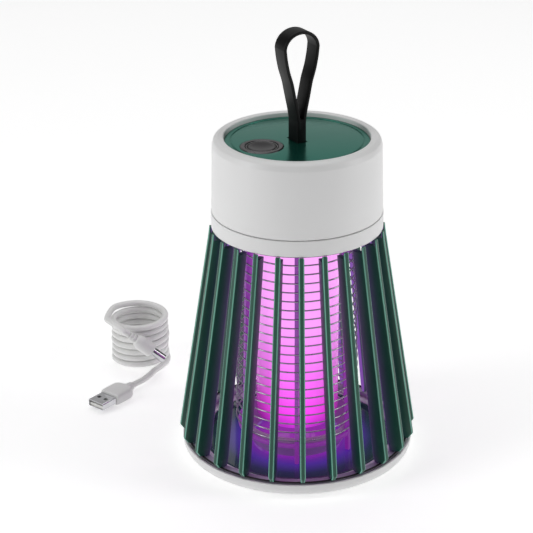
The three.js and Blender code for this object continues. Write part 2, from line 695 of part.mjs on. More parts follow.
// ---- Charging cable: coil, two leads, barrel plug and flat plug ----
// A tube along the points, from just outside the coil to the plug's neck.
function lead(route, neck, aim) {
  const back = (distance) => new THREE.Vector3(...neck).addScaledVector(new THREE.Vector3(...aim), -distance);
  const points = [...route.map((p) => new THREE.Vector3(...p)), back(CORD * 1.2), back(CORD * 0.6), back(GAP)];
  const path = new THREE.CatmullRomCurve3(points, false, 'centripetal');
  const section = new THREE.Shape();
  for (let i = 0; i < CORD_SIDES; i += 1) {
    const a = (2 * Math.PI * i) / CORD_SIDES;
    const corner = [(CORD / 2) * Math.cos(a), (CORD / 2) * Math.sin(a)];
    if (i === 0) section.moveTo(...corner);
    else section.lineTo(...corner);
  }
  section.closePath();
  const steps = Math.ceil(path.getLength() / (CORD * 1.4));
  return new THREE.ExtrudeGeometry(section, { steps, extrudePath: path, bevelEnabled: false });
}

// Turns a piece that is drawn along +X so that it points along aim, from the neck.
function aimed(geometry, neck, aim) {
  const turn = new THREE.Matrix4();
  const x = new THREE.Vector3(...aim).normalize();
  const y = new THREE.Vector3(0, 0, 1).cross(x).normalize();
  const z = x.clone().cross(y);
  turn.makeBasis(x, y, z).setPosition(...neck);
  return geometry.applyMatrix4(turn);
}

const alongX = (geometry) => geometry.rotateY(Math.PI / 2);

function dcPlugBody() {
  const end = DC_NECK_LENGTH + DC_BODY_LENGTH;
  return alongX(turned([
    [0, 0], [CORD / 2 + 0.5, 0], [CORD / 2 + 1, DC_NECK_LENGTH], [DC_BODY_R - 0.6, DC_NECK_LENGTH + 0.4],
    [DC_BODY_R, DC_NECK_LENGTH + 1.4], [DC_BODY_R, end - 0.6], [DC_BODY_R - 0.6, end], [0, end],
  ], 24));
}

function dcPlugBarrel() {
  const low = DC_NECK_LENGTH + DC_BODY_LENGTH + GAP;
  const end = low + DC_BARREL_LENGTH;
  return alongX(turned([
    [0, low], [DC_BARREL_R, low], [DC_BARREL_R, end - 0.4], [DC_BARREL_R - 0.4, end],
    [DC_BARREL_BORE, end], [DC_BARREL_BORE, low + 1], [0, low + 1],
  ], 20));
}

function usbPlugBody() {
  const [long, wide, high] = USB_BODY;
  const neck = alongX(disc(CORD / 2 + 0.8, 0, USB_NECK_LENGTH + 1, 16));
  const outline = [
    [-wide / 2, 0], [-wide / 2 + 1.5, -1.2], [wide / 2 - 1.5, -1.2], [wide / 2, 0],
    [wide / 2, long - 1], [-wide / 2, long - 1],
  ];
  const shape = new THREE.Shape(outline.map(([y, x]) => new THREE.Vector2(x + USB_NECK_LENGTH + 1, y)));
  const bevel = 0.8;
  const body = new THREE.ExtrudeGeometry(shape, {
    depth: high - 2 * bevel, bevelThickness: bevel, bevelSize: bevel, bevelOffset: -bevel, bevelSegments: 1,
  });
  return join(neck, body.translate(0, 0, bevel - high / 2));
}

function usbPlugShell() {
  const [long, wide, high] = USB_SHELL;
  const start = USB_NECK_LENGTH + USB_BODY[0] + GAP;
  const shell = block(USB_SHELL, [start + long / 2, 0, 0]);
  const hollow = block(
    [long, wide - 2 * USB_SHELL_WALL, high - 2 * USB_SHELL_WALL], [start + 1 + long / 2, 0, 0]);
  const tongue = block(
    [long - 1, wide - 2 * USB_SHELL_WALL, USB_TONGUE], [start + (long - 1) / 2, 0, 0.8]);
  return geometryOf(solid(shell).subtract(solid(hollow)).add(solid(tongue)));
}

function makeCable() {
  const cable = new THREE.Group();
  const coil = ring(COIL_R - CORD / 2, COIL_R + CORD / 2, 0, coilHeight, 32);
  add(cable, 'cable_coil', coil, cordWhite);
  add(cable, 'cable_lead_dc', lead(DC_ROUTE, DC_NECK, DC_AIM), cordWhite);
  add(cable, 'cable_lead_usb', lead(USB_ROUTE, USB_NECK, USB_AIM), cordWhite);
  add(cable, 'dc_plug_body', aimed(dcPlugBody(), DC_NECK, DC_AIM), cordWhite);
  add(cable, 'dc_plug_barrel', aimed(dcPlugBarrel(), DC_NECK, DC_AIM), steel);
  add(cable, 'usb_plug_body', aimed(usbPlugBody(), USB_NECK, USB_AIM), cordWhite);
  add(cable, 'usb_plug_shell', aimed(usbPlugShell(), USB_NECK, USB_AIM), steel);
  cable.position.set(...COIL_AT, 0);
  return cable;
}

const bugZapper = new THREE.Group();
bugZapper.add(makeBase(), makeCage(), makeHead(), makeZapper(), makeCable());

export default bugZapper;
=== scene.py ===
"""Rechargeable lantern-shaped bug zapper with its charging cable, on a pale floor."""
import math

import bmesh
import bpy
import numpy as np
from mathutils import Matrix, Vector


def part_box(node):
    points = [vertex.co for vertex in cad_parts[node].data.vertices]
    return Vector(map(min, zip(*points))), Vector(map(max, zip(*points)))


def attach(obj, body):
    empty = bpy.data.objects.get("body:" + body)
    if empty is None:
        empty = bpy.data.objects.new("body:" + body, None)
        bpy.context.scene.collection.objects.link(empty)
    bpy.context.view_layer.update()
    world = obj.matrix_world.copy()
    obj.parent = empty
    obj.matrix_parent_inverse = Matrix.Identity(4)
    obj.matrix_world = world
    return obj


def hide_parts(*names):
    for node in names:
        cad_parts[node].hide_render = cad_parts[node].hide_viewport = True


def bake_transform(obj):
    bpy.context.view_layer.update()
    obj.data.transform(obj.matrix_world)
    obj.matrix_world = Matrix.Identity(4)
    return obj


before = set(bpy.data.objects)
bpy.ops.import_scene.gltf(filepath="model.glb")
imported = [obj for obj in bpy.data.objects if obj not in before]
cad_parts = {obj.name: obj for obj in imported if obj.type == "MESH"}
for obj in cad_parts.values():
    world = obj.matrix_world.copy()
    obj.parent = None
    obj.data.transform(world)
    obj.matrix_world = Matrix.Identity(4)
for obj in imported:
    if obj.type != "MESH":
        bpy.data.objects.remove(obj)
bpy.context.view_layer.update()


# ----------------------------------------
# Room: a white sweep of floor that glows a little, two tall softboxes at the
# sides, one overhead and one behind. The camera stands in front and looks down
# at the lamp.
MM = 0.001


def tone(red, green, blue):
    """A colour on the 0-255 scale as the eye reads it, turned to linear light with full alpha."""
    share = np.array([red, green, blue]) / 255
    linear = np.where(share <= 0.04045, share / 12.92, ((share + 0.055) / 1.055) ** 2.4)
    return (*linear.tolist(), 1.0)


def softbox(name, place, aim, size, watts):
    """A rectangular area light at place that faces aim, all in metres."""
    data = bpy.data.lights.new(name, "AREA")
    data.shape = "RECTANGLE"
    data.size, data.size_y = size
    data.energy = watts
    light = bpy.data.objects.new(name, data)
    light.location = place
    light.rotation_euler = (Vector(aim) - Vector(place)).to_track_quat("-Z", "Y").to_euler()
    bpy.context.scene.collection.objects.link(light)


def new_material(name):
    """An empty node material: the material, its nodes, its links and its shader."""
    material = bpy.data.materials.new(name)
    material.use_nodes = True
    nodes = material.node_tree.nodes
    return material, nodes, material.node_tree.links, nodes["Principled BSDF"]


def with_values(node, operation=None, second=None, **values):
    """The shader node with its operation chosen, its second input set and its other sockets set by name,
    where _ stands for a space."""
    if operation:
        node.operation = operation
    if second is not None:
        node.inputs[1].default_value = second
    for socket, value in values.items():
        node.inputs[socket.replace("_", " ")].default_value = value
    return node


def added(nodes, kind, *settings, **values):
    """A new shader node of that kind, set up by with_values."""
    return with_values(nodes.new("ShaderNode" + kind), *settings, **values)


def colour_ramp(nodes, *stops):
    """A colour ramp through stops of (position, colour), in rising order."""
    node = nodes.new("ShaderNodeValToRGB")
    elements = node.color_ramp.elements
    elements[0].position, elements[0].color = stops[0]
    elements[1].position, elements[1].color = stops[-1]
    for position, colour in stops[1:-1]:
        elements.new(position).color = colour
    return node


def floor_finish():
    """Matt white sweep whose tone drifts very slightly, and which glows a little by itself."""
    material, nodes, links, shader = new_material("floor_sweep")
    noise = added(nodes, "TexNoise", Scale=1.5)
    ramp = colour_ramp(nodes, (0, (0.93, 0.93, 0.93, 1)), (1, (0.96, 0.96, 0.96, 1)))
    links.new(nodes.new("ShaderNodeTexCoord").outputs["Object"], noise.inputs["Vector"])
    links.new(noise.outputs["Fac"], ramp.inputs["Fac"])
    links.new(ramp.outputs["Color"], shader.inputs["Base Color"])
    with_values(shader, Roughness=0.9, Specular_IOR_Level=0.1, Emission_Color=(1, 1, 1, 1),
                Emission_Strength=0.38)
    return material


FLOOR_HALF = 6.0
floor_mesh = bpy.data.meshes.new("floor")
floor_mesh.from_pydata(
    [(-FLOOR_HALF, -FLOOR_HALF, 0), (FLOOR_HALF, -FLOOR_HALF, 0),
     (FLOOR_HALF, FLOOR_HALF, 0), (-FLOOR_HALF, FLOOR_HALF, 0)], [], [(0, 1, 2, 3)])
floor_mesh.materials.append(floor_finish())
floor = bpy.data.objects.new("floor", floor_mesh)
bpy.context.scene.collection.objects.link(floor)

world = bpy.data.worlds.new("room")
world.use_nodes = True
with_values(world.node_tree.nodes["Background"], Color=(1, 1, 1, 1), Strength=0.1)
bpy.context.scene.world = world
bpy.context.scene.view_settings.view_transform = "Standard"

softbox("left_box", (-1.5, -0.5, 0.75), (0, 0, 0.12), (0.7, 1.4), 10.5)
softbox("right_box", (1.4, -0.25, 0.7), (0, 0, 0.12), (0.5, 1.3), 7)
softbox("top_box", (0, 0.45, 2.2), (0, 0.45, 0), (2.4, 2.4), 23)
softbox("back_box", (0, 2.6, 1.3), (0, 0, 0.15), (3.2, 2.0), 7.5)

CAMERA_AT = (-0.0410, -0.8691, 0.4893)
CAMERA_DOWN = math.radians(23.59)
CAMERA_TURN = math.radians(-2.7)
camera_data = bpy.data.cameras.new("camera")
camera_data.sensor_width = 36
camera_data.lens = 116.9
camera_data.shift_x = -0.0576
camera = bpy.data.objects.new("camera", camera_data)
camera.location = CAMERA_AT
camera.rotation_euler = (math.pi / 2 - CAMERA_DOWN, 0, CAMERA_TURN)
bpy.context.scene.collection.objects.link(camera)
bpy.context.scene.camera = camera


# ----------------------------------------
# Charging cable: round white PVC lead wound into a coil of about seven turns,
# its top end led across the front to the barrel plug and its bottom end out
# along the floor to the flat plug. Extruded jacket, plugs moulded on.
def grid_faces(rows, columns, ring=True):
    """Quads between neighbours of a rows x columns grid. ring joins the last column to the first."""
    i = np.arange(rows - 1)[:, None]
    j = np.arange(columns if ring else columns - 1)[None, :]
    after = (j + 1) % columns
    corners = (i * columns + j, i * columns + after, (i + 1) * columns + after, (i + 1) * columns + j)
    return np.stack(np.broadcast_arrays(*corners), axis=-1).reshape(-1, 4)


def capped_faces(rows, sides):
    """The quads of a grid of rows that are rings, with one flat face over each of its two ends."""
    last = (rows - 1) * sides
    return grid_faces(rows, sides).tolist() + [list(range(sides))[::-1], list(range(last, last + sides))]


CREASE = 38


def surface(name, shells, material, crease=CREASE):
    """A mesh object from closed shells, each (points in mm, faces), smooth up to the crease angle.

    Points that coincide are merged first, which closes the poles and seams, and faces are turned outwards."""
    mesh = bpy.data.meshes.new(name)
    points, faces, start = [], [], 0
    for shell_points, shell_faces in shells:
        points.append(np.asarray(shell_points, float).reshape(-1, 3) * MM)
        faces.extend([[start + k for k in face] for face in np.asarray(shell_faces, dtype=object).tolist()])
        start += len(points[-1])
    mesh.from_pydata(np.concatenate(points), [], faces)
    work = bmesh.new()
    work.from_mesh(mesh)
    bmesh.ops.remove_doubles(work, verts=work.verts, dist=2e-6)
    bmesh.ops.recalc_face_normals(work, faces=work.faces)
    work.to_mesh(mesh)
    work.free()
    mesh.shade_smooth()
    mesh.set_sharp_from_angle(angle=math.radians(crease))
    mesh.materials.append(material)
    piece = bpy.data.objects.new(name, mesh)
    bpy.context.scene.collection.objects.link(piece)
    return piece


def tube(path, radius, sides=14):
    """A round tube along a path of points, in mm.

    At each point the circle lies across the path's direction, measured from the level line beside it.
    The two ends are closed with one flat face each."""
    path = np.asarray(path, float)
    along = np.gradient(path, axis=0)
    along /= np.linalg.norm(along, axis=1)[:, None]
    beside = np.cross(along, (0.0, 0.0, 1.0))
    beside /= np.linalg.norm(beside, axis=1)[:, None]
    above = np.cross(beside, along)
    turn = np.linspace(0, 2 * np.pi, sides, endpoint=False)
    offset = np.cos(turn)[None, :, None] * beside[:, None] + np.sin(turn)[None, :, None] * above[:, None]
    points = (path[:, None] + radius * offset).reshape(-1, 3)
    return points, capped_faces(len(path), sides)


def moulded(name, colour, rough, spread=0.05, grain=1400, dent=0.03, drift=22, **settings):
    """Moulded plastic or rubber: the tone and the roughness drift over a few centimetres and a fine grain
    dents the surface. settings are more of the shader's sockets, such as Metallic=1."""
    material, nodes, links, shader = new_material(name)
    where = nodes.new("ShaderNodeTexCoord").outputs["Object"]
    slow = added(nodes, "TexNoise", Scale=drift, Detail=4)
    darker = (*[c * (1 - spread) for c in colour[:3]], 1)
    paler = (*[min(1, c * (1 + spread)) for c in colour[:3]], 1)
    ramp = colour_ramp(nodes, (0.3, darker), (0.7, paler))
    gloss = added(nodes, "MapRange", To_Min=rough * 0.85, To_Max=min(1, rough * 1.2))
    fine = added(nodes, "TexNoise", Scale=grain, Detail=2)
    bump = added(nodes, "Bump", Strength=dent, Distance=0.0004)
    links.new(where, slow.inputs["Vector"])
    links.new(where, fine.inputs["Vector"])
    links.new(slow.outputs["Fac"], ramp.inputs["Fac"])
    links.new(slow.outputs["Fac"], gloss.inputs["Value"])
    links.new(fine.outputs["Fac"], bump.inputs["Height"])
    links.new(ramp.outputs["Color"], shader.inputs["Base Color"])
    links.new(gloss.outputs["Result"], shader.inputs["Roughness"])
    links.new(bump.outputs["Normal"], shader.inputs["Normal"])
    with_values(shader, **settings)
    return material


def smooth_line(points, count):
    """A Catmull-Rom curve through a list of points, with count points to each stretch between two of them."""
    points = np.asarray(points, float)
    ends = np.vstack([2 * points[0] - points[1], points, 2 * points[-1] - points[-2]])
    a, b, c, d = ends[:-3], ends[1:-2], ends[2:-1], ends[3:]
    t = np.linspace(0, 1, count, endpoint=False)[None, :, None]
    a, b, c, d = (p[:, None] for p in (a, b, c, d))
    line = 0.5 * (2 * b + (c - a) * t + (2 * a - 5 * b + 4 * c - d) * t**2 + (3 * b - a - 3 * c + d) * t**3)
    return np.vstack([line.reshape(-1, 3), points[-1]])


coil_low, coil_high = (np.array(corner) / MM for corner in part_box("cable_coil"))
COIL_AT = np.array([*(coil_low + coil_high)[:2] / 2, 0.0])
CORD = 3.8
CORD_GAP = 0.05
COIL_R = 16.0
COIL_START = -27.0
COIL_END = 153.0 + 7 * 360
COIL_STEP = 30
WANDER_SLOW, WANDER_QUICK = 0.25, 0.2
SWING_TOP, SWING_FOOT = 2.6, 1.2
DC_NECK = np.array([-5.2, -23, 28.8])
DC_AIM = np.array([0.776, 0, -0.631])
USB_NECK = np.array([-4.0, -42, 4.2])
USB_AIM = np.array([-0.65, -0.76, 0.0])
DC_ROUTE = [[-19.6, -6, 32.8], [-18, -12, 33.2], [-14.4, -17.4, 33.4], [-11.4, -20.8, 32.9]]
USB_ROUTE = [[8.9, -18.2, 2.1], [6.4, -23.6, 2.1], [4, -28.8, 2.5], [1.8, -33.6, 3.2]]


def run_in(neck, aim):
    """The last straight stretch in front of a plug's neck."""
    return [neck - aim * CORD * share for share in (1.2, 0.6, 0.08)]


def coil_line():
    """A helix that rises a little over one diameter a turn. Each turn is a little wider or narrower than the
    one below, as hand-wound turns are, and both ends swing outwards to where the leads leave."""
    angle = np.radians(np.arange(COIL_START, COIL_END + 1, COIL_STEP))
    share = (angle - angle[0]) / (angle[-1] - angle[0])
    wander = WANDER_SLOW * np.sin(angle * 0.31 + 0.6) + WANDER_QUICK * np.sin(angle * 0.83)
    wander *= np.clip(share * 14, 0, 1) * np.clip((1 - share) * 14, 0, 1)
    swing = SWING_TOP * np.clip((share - 0.955) / 0.045, 0, 1) ** 2
    swing = swing + SWING_FOOT * np.clip(1 - share * 50, 0, 1)
    radius = COIL_R + wander + swing
    height = CORD / 2 + CORD_GAP + (coil_high[2] - CORD - 2 * CORD_GAP) * share
    return np.stack([radius * np.cos(angle), radius * np.sin(angle), height], axis=1)


cable_line = COIL_AT + smooth_line([
    *run_in(USB_NECK, USB_AIM)[::-1], *USB_ROUTE[::-1], *coil_line(), *DC_ROUTE, *run_in(DC_NECK, DC_AIM)], 8)
cord_white = moulded("cable_white", tone(232, 232, 231), 0.42, spread=0.02, grain=900, dent=0.05, drift=60)
cable = surface("charging_cable", [tube(cable_line, CORD / 2, 16)], cord_white)
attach(cable, "base")
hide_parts("cable_coil", "cable_lead_dc", "cable_lead_usb")


# ----------------------------------------
# Barrel plug: white strain relief and flared grip moulded round a nickel
# plated barrel with a bored middle.
def rounded(points, radius, steps=5, open_ends=True):
    """The outline with each corner replaced by an arc of the given radius, cut short on short sides.

    At a corner the arc touches both sides at radius / tan(half the angle) from it, and its points swing
    evenly from one touch point to the other round the arc's centre."""
    points = np.asarray(points, float)
    radius = np.broadcast_to(np.asarray(radius, float), len(points)).copy()
    if open_ends:
        radius[[0, -1]] = 0
    back = np.roll(points, 1, axis=0) - points
    ahead = np.roll(points, -1, axis=0) - points
    long_back, long_ahead = np.linalg.norm(back, axis=1), np.linalg.norm(ahead, axis=1)
    back /= np.maximum(long_back, 1e-9)[:, None]
    ahead /= np.maximum(long_ahead, 1e-9)[:, None]
    half = np.arccos(np.clip((back * ahead).sum(1), -1, 1)) / 2
    half = np.clip(half, 0.02, np.pi / 2 - 1e-4)
    touch = np.minimum(radius / np.tan(half), 0.49 * np.minimum(long_back, long_ahead))
    radius = touch * np.tan(half)
    middle = back + ahead
    middle /= np.maximum(np.linalg.norm(middle, axis=1), 1e-9)[:, None]
    centre = points + middle * (radius / np.sin(half))[:, None]
    sweep = (np.pi - 2 * half)[:, None, None]
    share = np.linspace(0, 1, steps + 1)[None, :, None]
    first = (points + back * touch[:, None] - centre)[:, None]
    last = (points + ahead * touch[:, None] - centre)[:, None]
    swung = (np.sin((1 - share) * sweep) * first + np.sin(share * sweep) * last) / np.sin(sweep)
    line = (centre[:, None] + swung).reshape(-1, 2)
    keep = np.append(True, np.linalg.norm(np.diff(line, axis=0), axis=1) > 1e-3)
    return line[keep]


def turned(profile, steps=144, about=(0.0, 0.0)):
    """A profile of (radius, height) points swept once round the upright line through about, in mm.

    The profile runs up the outside and down the inside, from axis to axis or back to its own start."""
    profile = np.asarray(profile, float)
    turn = np.linspace(0, 2 * np.pi, steps, endpoint=False)
    x = about[0] + profile[:, :1] * np.cos(turn)
    y = about[1] + profile[:, :1] * np.sin(turn)
    z = np.broadcast_to(profile[:, 1:], x.shape)
    return np.stack([x, y, z], axis=-1).reshape(-1, 3), grid_faces(len(profile), steps)


def closed(points, radius, steps=5):
    """A rounded outline that comes back to its own first point."""
    line = rounded(points, radius, steps, open_ends=False)
    return np.vstack([line, line[:1]])


def aimed(shell, neck, aim):
    """Points drawn up the Z axis, laid along aim from neck, with their own Y level."""
    points, faces = shell
    ahead = np.asarray(aim) / np.linalg.norm(aim)
    level = np.cross((0.0, 0.0, 1.0), ahead)
    level /= np.linalg.norm(level)
    over = np.cross(ahead, level)
    return COIL_AT + neck + points @ np.stack([-over, level, ahead]), faces


DC_NECK_LENGTH = 5.0
DC_BODY_R = 4.6
DC_BODY_LENGTH = 12.0
DC_BARREL_R = 2.75
DC_BARREL_BORE = 1.05
DC_BARREL_LENGTH = 9.0
PLUG_GAP = 0.3
dc_end = DC_NECK_LENGTH + DC_BODY_LENGTH
# Two ribs on the strain relief, then a cone and the straight grip.
dc_grip = turned(rounded([
    (0, 0), (2.5, 0), (2.5, 1.5), (2.2, 1.7), (2.2, 2.3), (2.7, 2.5), (2.7, 3.9), (2.4, 4.1), (2.4, 4.6),
    (3.4, 5.0), (DC_BODY_R - 0.5, 6.4), (DC_BODY_R, 8.2), (DC_BODY_R, dc_end), (0, dc_end),
], [0, .4, .2, .1, .1, .2, .2, .1, .1, .5, 1, 2, .7, 0]), 48)
plug_white = moulded("plug_white", tone(228, 228, 227), 0.36, spread=0.02, grain=1100, dent=0.04)
dc_body = surface("dc_plug_grip", [aimed(dc_grip, DC_NECK, DC_AIM)], plug_white)
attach(dc_body, "base")
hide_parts("dc_plug_body")

barrel_low = dc_end + PLUG_GAP
barrel_end = barrel_low + DC_BARREL_LENGTH
barrel = turned(rounded([
    (0, barrel_low), (DC_BARREL_R, barrel_low), (DC_BARREL_R, barrel_end),
    (DC_BARREL_BORE + 0.35, barrel_end),
    (DC_BARREL_BORE, barrel_end - 0.5), (DC_BARREL_BORE, barrel_low + 1), (0, barrel_low + 1),
], [0, 0.15, 0.45, 0.2, 0.2, 0, 0]), 48)
plated = moulded("plated_metal", tone(205, 205, 208), 0.16, spread=0.06, grain=500, dent=0.015, drift=160,
                 Metallic=1.0)
dc_barrel = surface("dc_plug_nickel_barrel", [aimed(barrel, DC_NECK, DC_AIM)], plated)
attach(dc_barrel, "base")
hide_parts("dc_plug_barrel")


# ----------------------------------------
# Flat plug: white overmoulding that swells from the cord's neck to a rounded
# block, and a folded steel shell with two latch holes and an insulating tongue.
USB_NECK_LENGTH = 5.0
USB_BODY_LENGTH = 15.0
USB_SHELL = (11.0, 12.0, 4.5)
USB_WALL = 0.5
USB_BACK = 1.0
USB_TONGUE = 1.9
LATCH_HOLE = 2.2
LATCH_ASIDE = 2.6
LATCH_UP = 4.2


def lofted(stations, half_wide, half_high, power, sides=56):
    """A closed body drawn up Z: at each station a superellipse |x/a|^n + |y/b|^n = 1, with a the half height,
    b the half width and n the power, from a circle at 2 towards a rectangle as n grows."""
    turn = np.linspace(0, 2 * np.pi, sides, endpoint=False)[None, :]
    power = np.asarray(power, float)[:, None]
    across, beside = np.cos(turn), np.sin(turn)
    x = np.asarray(half_high)[:, None] * np.sign(across) * np.abs(across) ** (2 / power)
    y = np.asarray(half_wide)[:, None] * np.sign(beside) * np.abs(beside) ** (2 / power)
    z = np.broadcast_to(np.asarray(stations, float)[:, None], x.shape)
    return np.stack([x, y, z], axis=-1).reshape(-1, 3), capped_faces(len(stations), sides)


def carve(piece, tool_shells, operation="DIFFERENCE"):
    """Cuts the tool's shells out of the piece, or joins them on, and keeps the piece's shading and finish."""
    tool = surface(piece.name + "_tool", tool_shells, piece.data.materials[0])
    step = piece.modifiers.new("carve", "BOOLEAN")
    step.operation = operation
    step.solver = "EXACT"
    step.object = tool
    bpy.context.view_layer.update()
    made = bpy.data.meshes.new_from_object(piece.evaluated_get(bpy.context.evaluated_depsgraph_get()))
    piece.modifiers.clear()
    old = piece.data
    piece.data = made
    made.name = old.name
    made.shade_smooth()
    made.set_sharp_from_angle(angle=math.radians(CREASE))
    bpy.data.meshes.remove(old)
    bpy.data.objects.remove(tool)


def brick(low, high):
    """A plain box between two corners, for cutting tools and the plug's flat tongue."""
    corners = np.array([[low, high][(k >> a) & 1][a] for k in range(8) for a in range(3)]).reshape(8, 3)
    return corners, [(0, 2, 3, 1), (4, 5, 7, 6), (0, 1, 5, 4), (2, 6, 7, 3), (0, 4, 6, 2), (1, 3, 7, 5)]


# Heights above the neck, and at each the half width, the half height and the squareness.
rise = np.array([0.0, 0.25, 0.8, 2.4, 4.2, 5.0, 5.4, 6.2, 7.4, 9.0, 12.0, 16.0, 18.6, 19.5, 19.9, 20.0])
half_w = np.array([1.9, 2.4, 2.7, 2.75, 2.9, 4.0, 5.2, 6.4, 7.0, 7.25, 7.25, 7.25, 7.2, 7.0, 6.6, 6.3])
half_h = np.array([1.9, 2.4, 2.7, 2.75, 2.8, 3.0, 3.2, 3.45, 3.65, 3.75, 3.75, 3.75, 3.7, 3.5, 3.2, 3.0])
squareness = np.array([2, 2, 2, 2, 2.1, 2.6, 3.2, 4, 4.6, 5, 5, 5, 5, 5, 5, 5.0])
usb_body = surface("usb_plug_grip", [aimed(lofted(rise, half_w, half_h, squareness), USB_NECK, USB_AIM)],
                   plug_white)
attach(usb_body, "base")
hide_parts("usb_plug_body")

shell_long, shell_wide, shell_high = USB_SHELL
shell_low = USB_NECK_LENGTH + USB_BODY_LENGTH + PLUG_GAP
shell_end = shell_low + shell_long
sleeve = closed([(shell_high / 2, shell_wide / 2), (-shell_high / 2, shell_wide / 2),
                 (-shell_high / 2, -shell_wide / 2), (shell_high / 2, -shell_wide / 2)], 0.8)[:-1]
levels = [shell_low, shell_end - 0.15, shell_end]
shrink = [1.0, 1.0, 0.985]
sleeve_points = np.concatenate([
    np.column_stack([sleeve * s, np.full(len(sleeve), z)]) for s, z in zip(shrink, levels)])
sleeve_shell = (sleeve_points, capped_faces(len(levels), len(sleeve)))
usb_shell = surface("usb_plug_steel_shell", [aimed(sleeve_shell, USB_NECK, USB_AIM)], plated)
hollow_x, hollow_y = shell_high / 2 - USB_WALL, shell_wide / 2 - USB_WALL
mouth = brick((-hollow_x, -hollow_y, shell_low + USB_BACK), (hollow_x, hollow_y, shell_end + 1))
carve(usb_shell, [aimed(mouth, USB_NECK, USB_AIM)])
for side in (-1, 1):
    hole_y, hole_z = side * LATCH_ASIDE, shell_low + LATCH_UP
    latch_hole = brick((-shell_high, hole_y - LATCH_HOLE / 2, hole_z),
                       (-hollow_x + 0.1, hole_y + LATCH_HOLE / 2, hole_z + LATCH_HOLE))
    carve(usb_shell, [aimed(latch_hole, USB_NECK, USB_AIM)])
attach(usb_shell, "base")
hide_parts("usb_plug_shell")

tongue_finish = moulded("tongue_plastic", tone(236, 236, 232), 0.5, spread=0.03)
tongue_block = brick((0.0, -hollow_y + 0.05, shell_low + USB_BACK + 0.05),
                     (USB_TONGUE - 0.2, hollow_y - 0.05, shell_end - 0.8))
usb_tongue = surface("usb_plug_tongue", [aimed(tongue_block, USB_NECK, USB_AIM)], tongue_finish)
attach(usb_tongue, "base")


# ----------------------------------------
# Base dish: white moulded dish with a rounded outer edge, a rim, a ledge with
# three bayonet pockets, and a well for the tray. Stands on a rubber foot.
def corners_of(node):
    """The node's box in mm: its low corner, its high corner and its middle."""
    low, high = (np.array(corner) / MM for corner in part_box(node))
    return low, high, (low + high) / 2


def arc_block(inner, outer, start, stop, low, high, steps=12):
    """A block between two radii, two angles in degrees and two heights."""
    turn = np.radians(np.linspace(start, stop, steps))[:, None]
    radius = np.array([outer, outer, inner, inner])[None, :]
    height = np.broadcast_to([low, high, high, low], (steps, 4))
    points = np.stack([radius * np.cos(turn), radius * np.sin(turn), height], axis=-1).reshape(-1, 3)
    faces = grid_faces(steps, 4).tolist()
    faces += [[0, 1, 2, 3], list(range(4 * steps - 1, 4 * steps - 5, -1))]
    return points, faces


base_low, base_high, _ = corners_of("base_shell")
tray_low, tray_high, _ = corners_of("insect_tray")
foot_low, foot_high, _ = corners_of("foot_ring")
lug_low, lug_high, _ = corners_of("cage_low_ring")
BASE_R = base_high[0]
UNDER_R = BASE_R - 4.5
RIM_WALL = 1.4
LEDGE_Z = tray_high[2] + 0.3
WELL_R = tray_high[0] + 0.3
WELL_Z = tray_low[2] - 0.3
GROOVE_IN, GROOVE_OUT, GROOVE_TOP = 50.0, 56.0, 2.0
dish_line = rounded([
    (0, base_low[2]), (GROOVE_IN, base_low[2]), (GROOVE_IN, GROOVE_TOP),
    (GROOVE_OUT, GROOVE_TOP), (GROOVE_OUT, base_low[2]), (UNDER_R, base_low[2]),
    (BASE_R - 0.6, base_low[2] + 2.6), (BASE_R, base_low[2] + 5), (BASE_R, base_high[2]),
    (BASE_R - RIM_WALL, base_high[2]), (BASE_R - RIM_WALL, LEDGE_Z), (WELL_R, LEDGE_Z),
    (WELL_R, WELL_Z), (0, WELL_Z),
], [0, .2, .2, .2, .3, 3.5, 3.5, 3, .4, .4, .3, .5, .4, 0], steps=7)
white_shell = moulded("white_moulding", tone(230, 230, 230), 0.34, spread=0.012, grain=2200, dent=0.02)
base_dish = surface("base_dish", [turned(dish_line, 192)], white_shell)
LUG_R = 59.6
LUG_ANGLES = (30, 150, 270)
LUG_STEM = 0.7
LUG_HEAD = 2.0
LUG_PLAY = 0.5
POCKET_START, POCKET_ENTRY, POCKET_STOP = -6, 14.5, 26
stem_in, stem_out = LUG_R - (LUG_STEM + LUG_PLAY), LUG_R + (LUG_STEM + LUG_PLAY)
head_in, head_out = LUG_R - (LUG_HEAD + LUG_PLAY), LUG_R + (LUG_HEAD + LUG_PLAY)
for lug_angle in LUG_ANGLES:
    start, entry, stop = lug_angle + POCKET_START, lug_angle + POCKET_ENTRY, lug_angle + POCKET_STOP
    carve(base_dish, [arc_block(head_in, head_out, start, stop, LEDGE_Z - 3.9, LEDGE_Z - 1.5)])
    carve(base_dish, [arc_block(stem_in, stem_out, start, stop, LEDGE_Z - 3.0, LEDGE_Z + 1)])
    carve(base_dish, [arc_block(head_in, head_out, entry, stop, LEDGE_Z - 3.5, LEDGE_Z + 1)])
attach(base_dish, "base")
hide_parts("base_shell")


# ----------------------------------------
# Insect tray: shallow glossy dark green pan that lies loose in the well and
# lifts out for emptying. The lamp's light that pools on it in violet is painted on as a glow.
def tray_finish():
    """Glossy green plastic with the lamp's light painted on as a glow by the distance from the axis: violet
    under the lamp, dark outside.
    """
    material = moulded("tray_green", tone(26, 66, 60), 0.12, spread=0.08, grain=700, dent=0.012,
                       Coat_Weight=0.5, Coat_Roughness=0.06, Emission_Strength=0.34)
    nodes, links = material.node_tree.nodes, material.node_tree.links
    reach = added(nodes, "VectorMath", "LENGTH")
    # Painted light: the lamp's violet pool on the tray, as emission that fades with the distance from the
    # axis.
    painted_pool = added(nodes, "MapRange", From_Min=0.018, From_Max=0.049)
    violet = colour_ramp(nodes, (0, tone(220, 60, 250)), (0.5, tone(112, 48, 222)), (0.8, tone(40, 34, 96)),
                         (1, tone(14, 22, 40)))
    links.new(nodes.new("ShaderNodeTexCoord").outputs["Object"], reach.inputs[0])
    links.new(reach.outputs["Value"], painted_pool.inputs["Value"])
    links.new(painted_pool.outputs["Result"], violet.inputs["Fac"])
    links.new(violet.outputs["Color"], nodes["Principled BSDF"].inputs["Emission Color"])
    return material


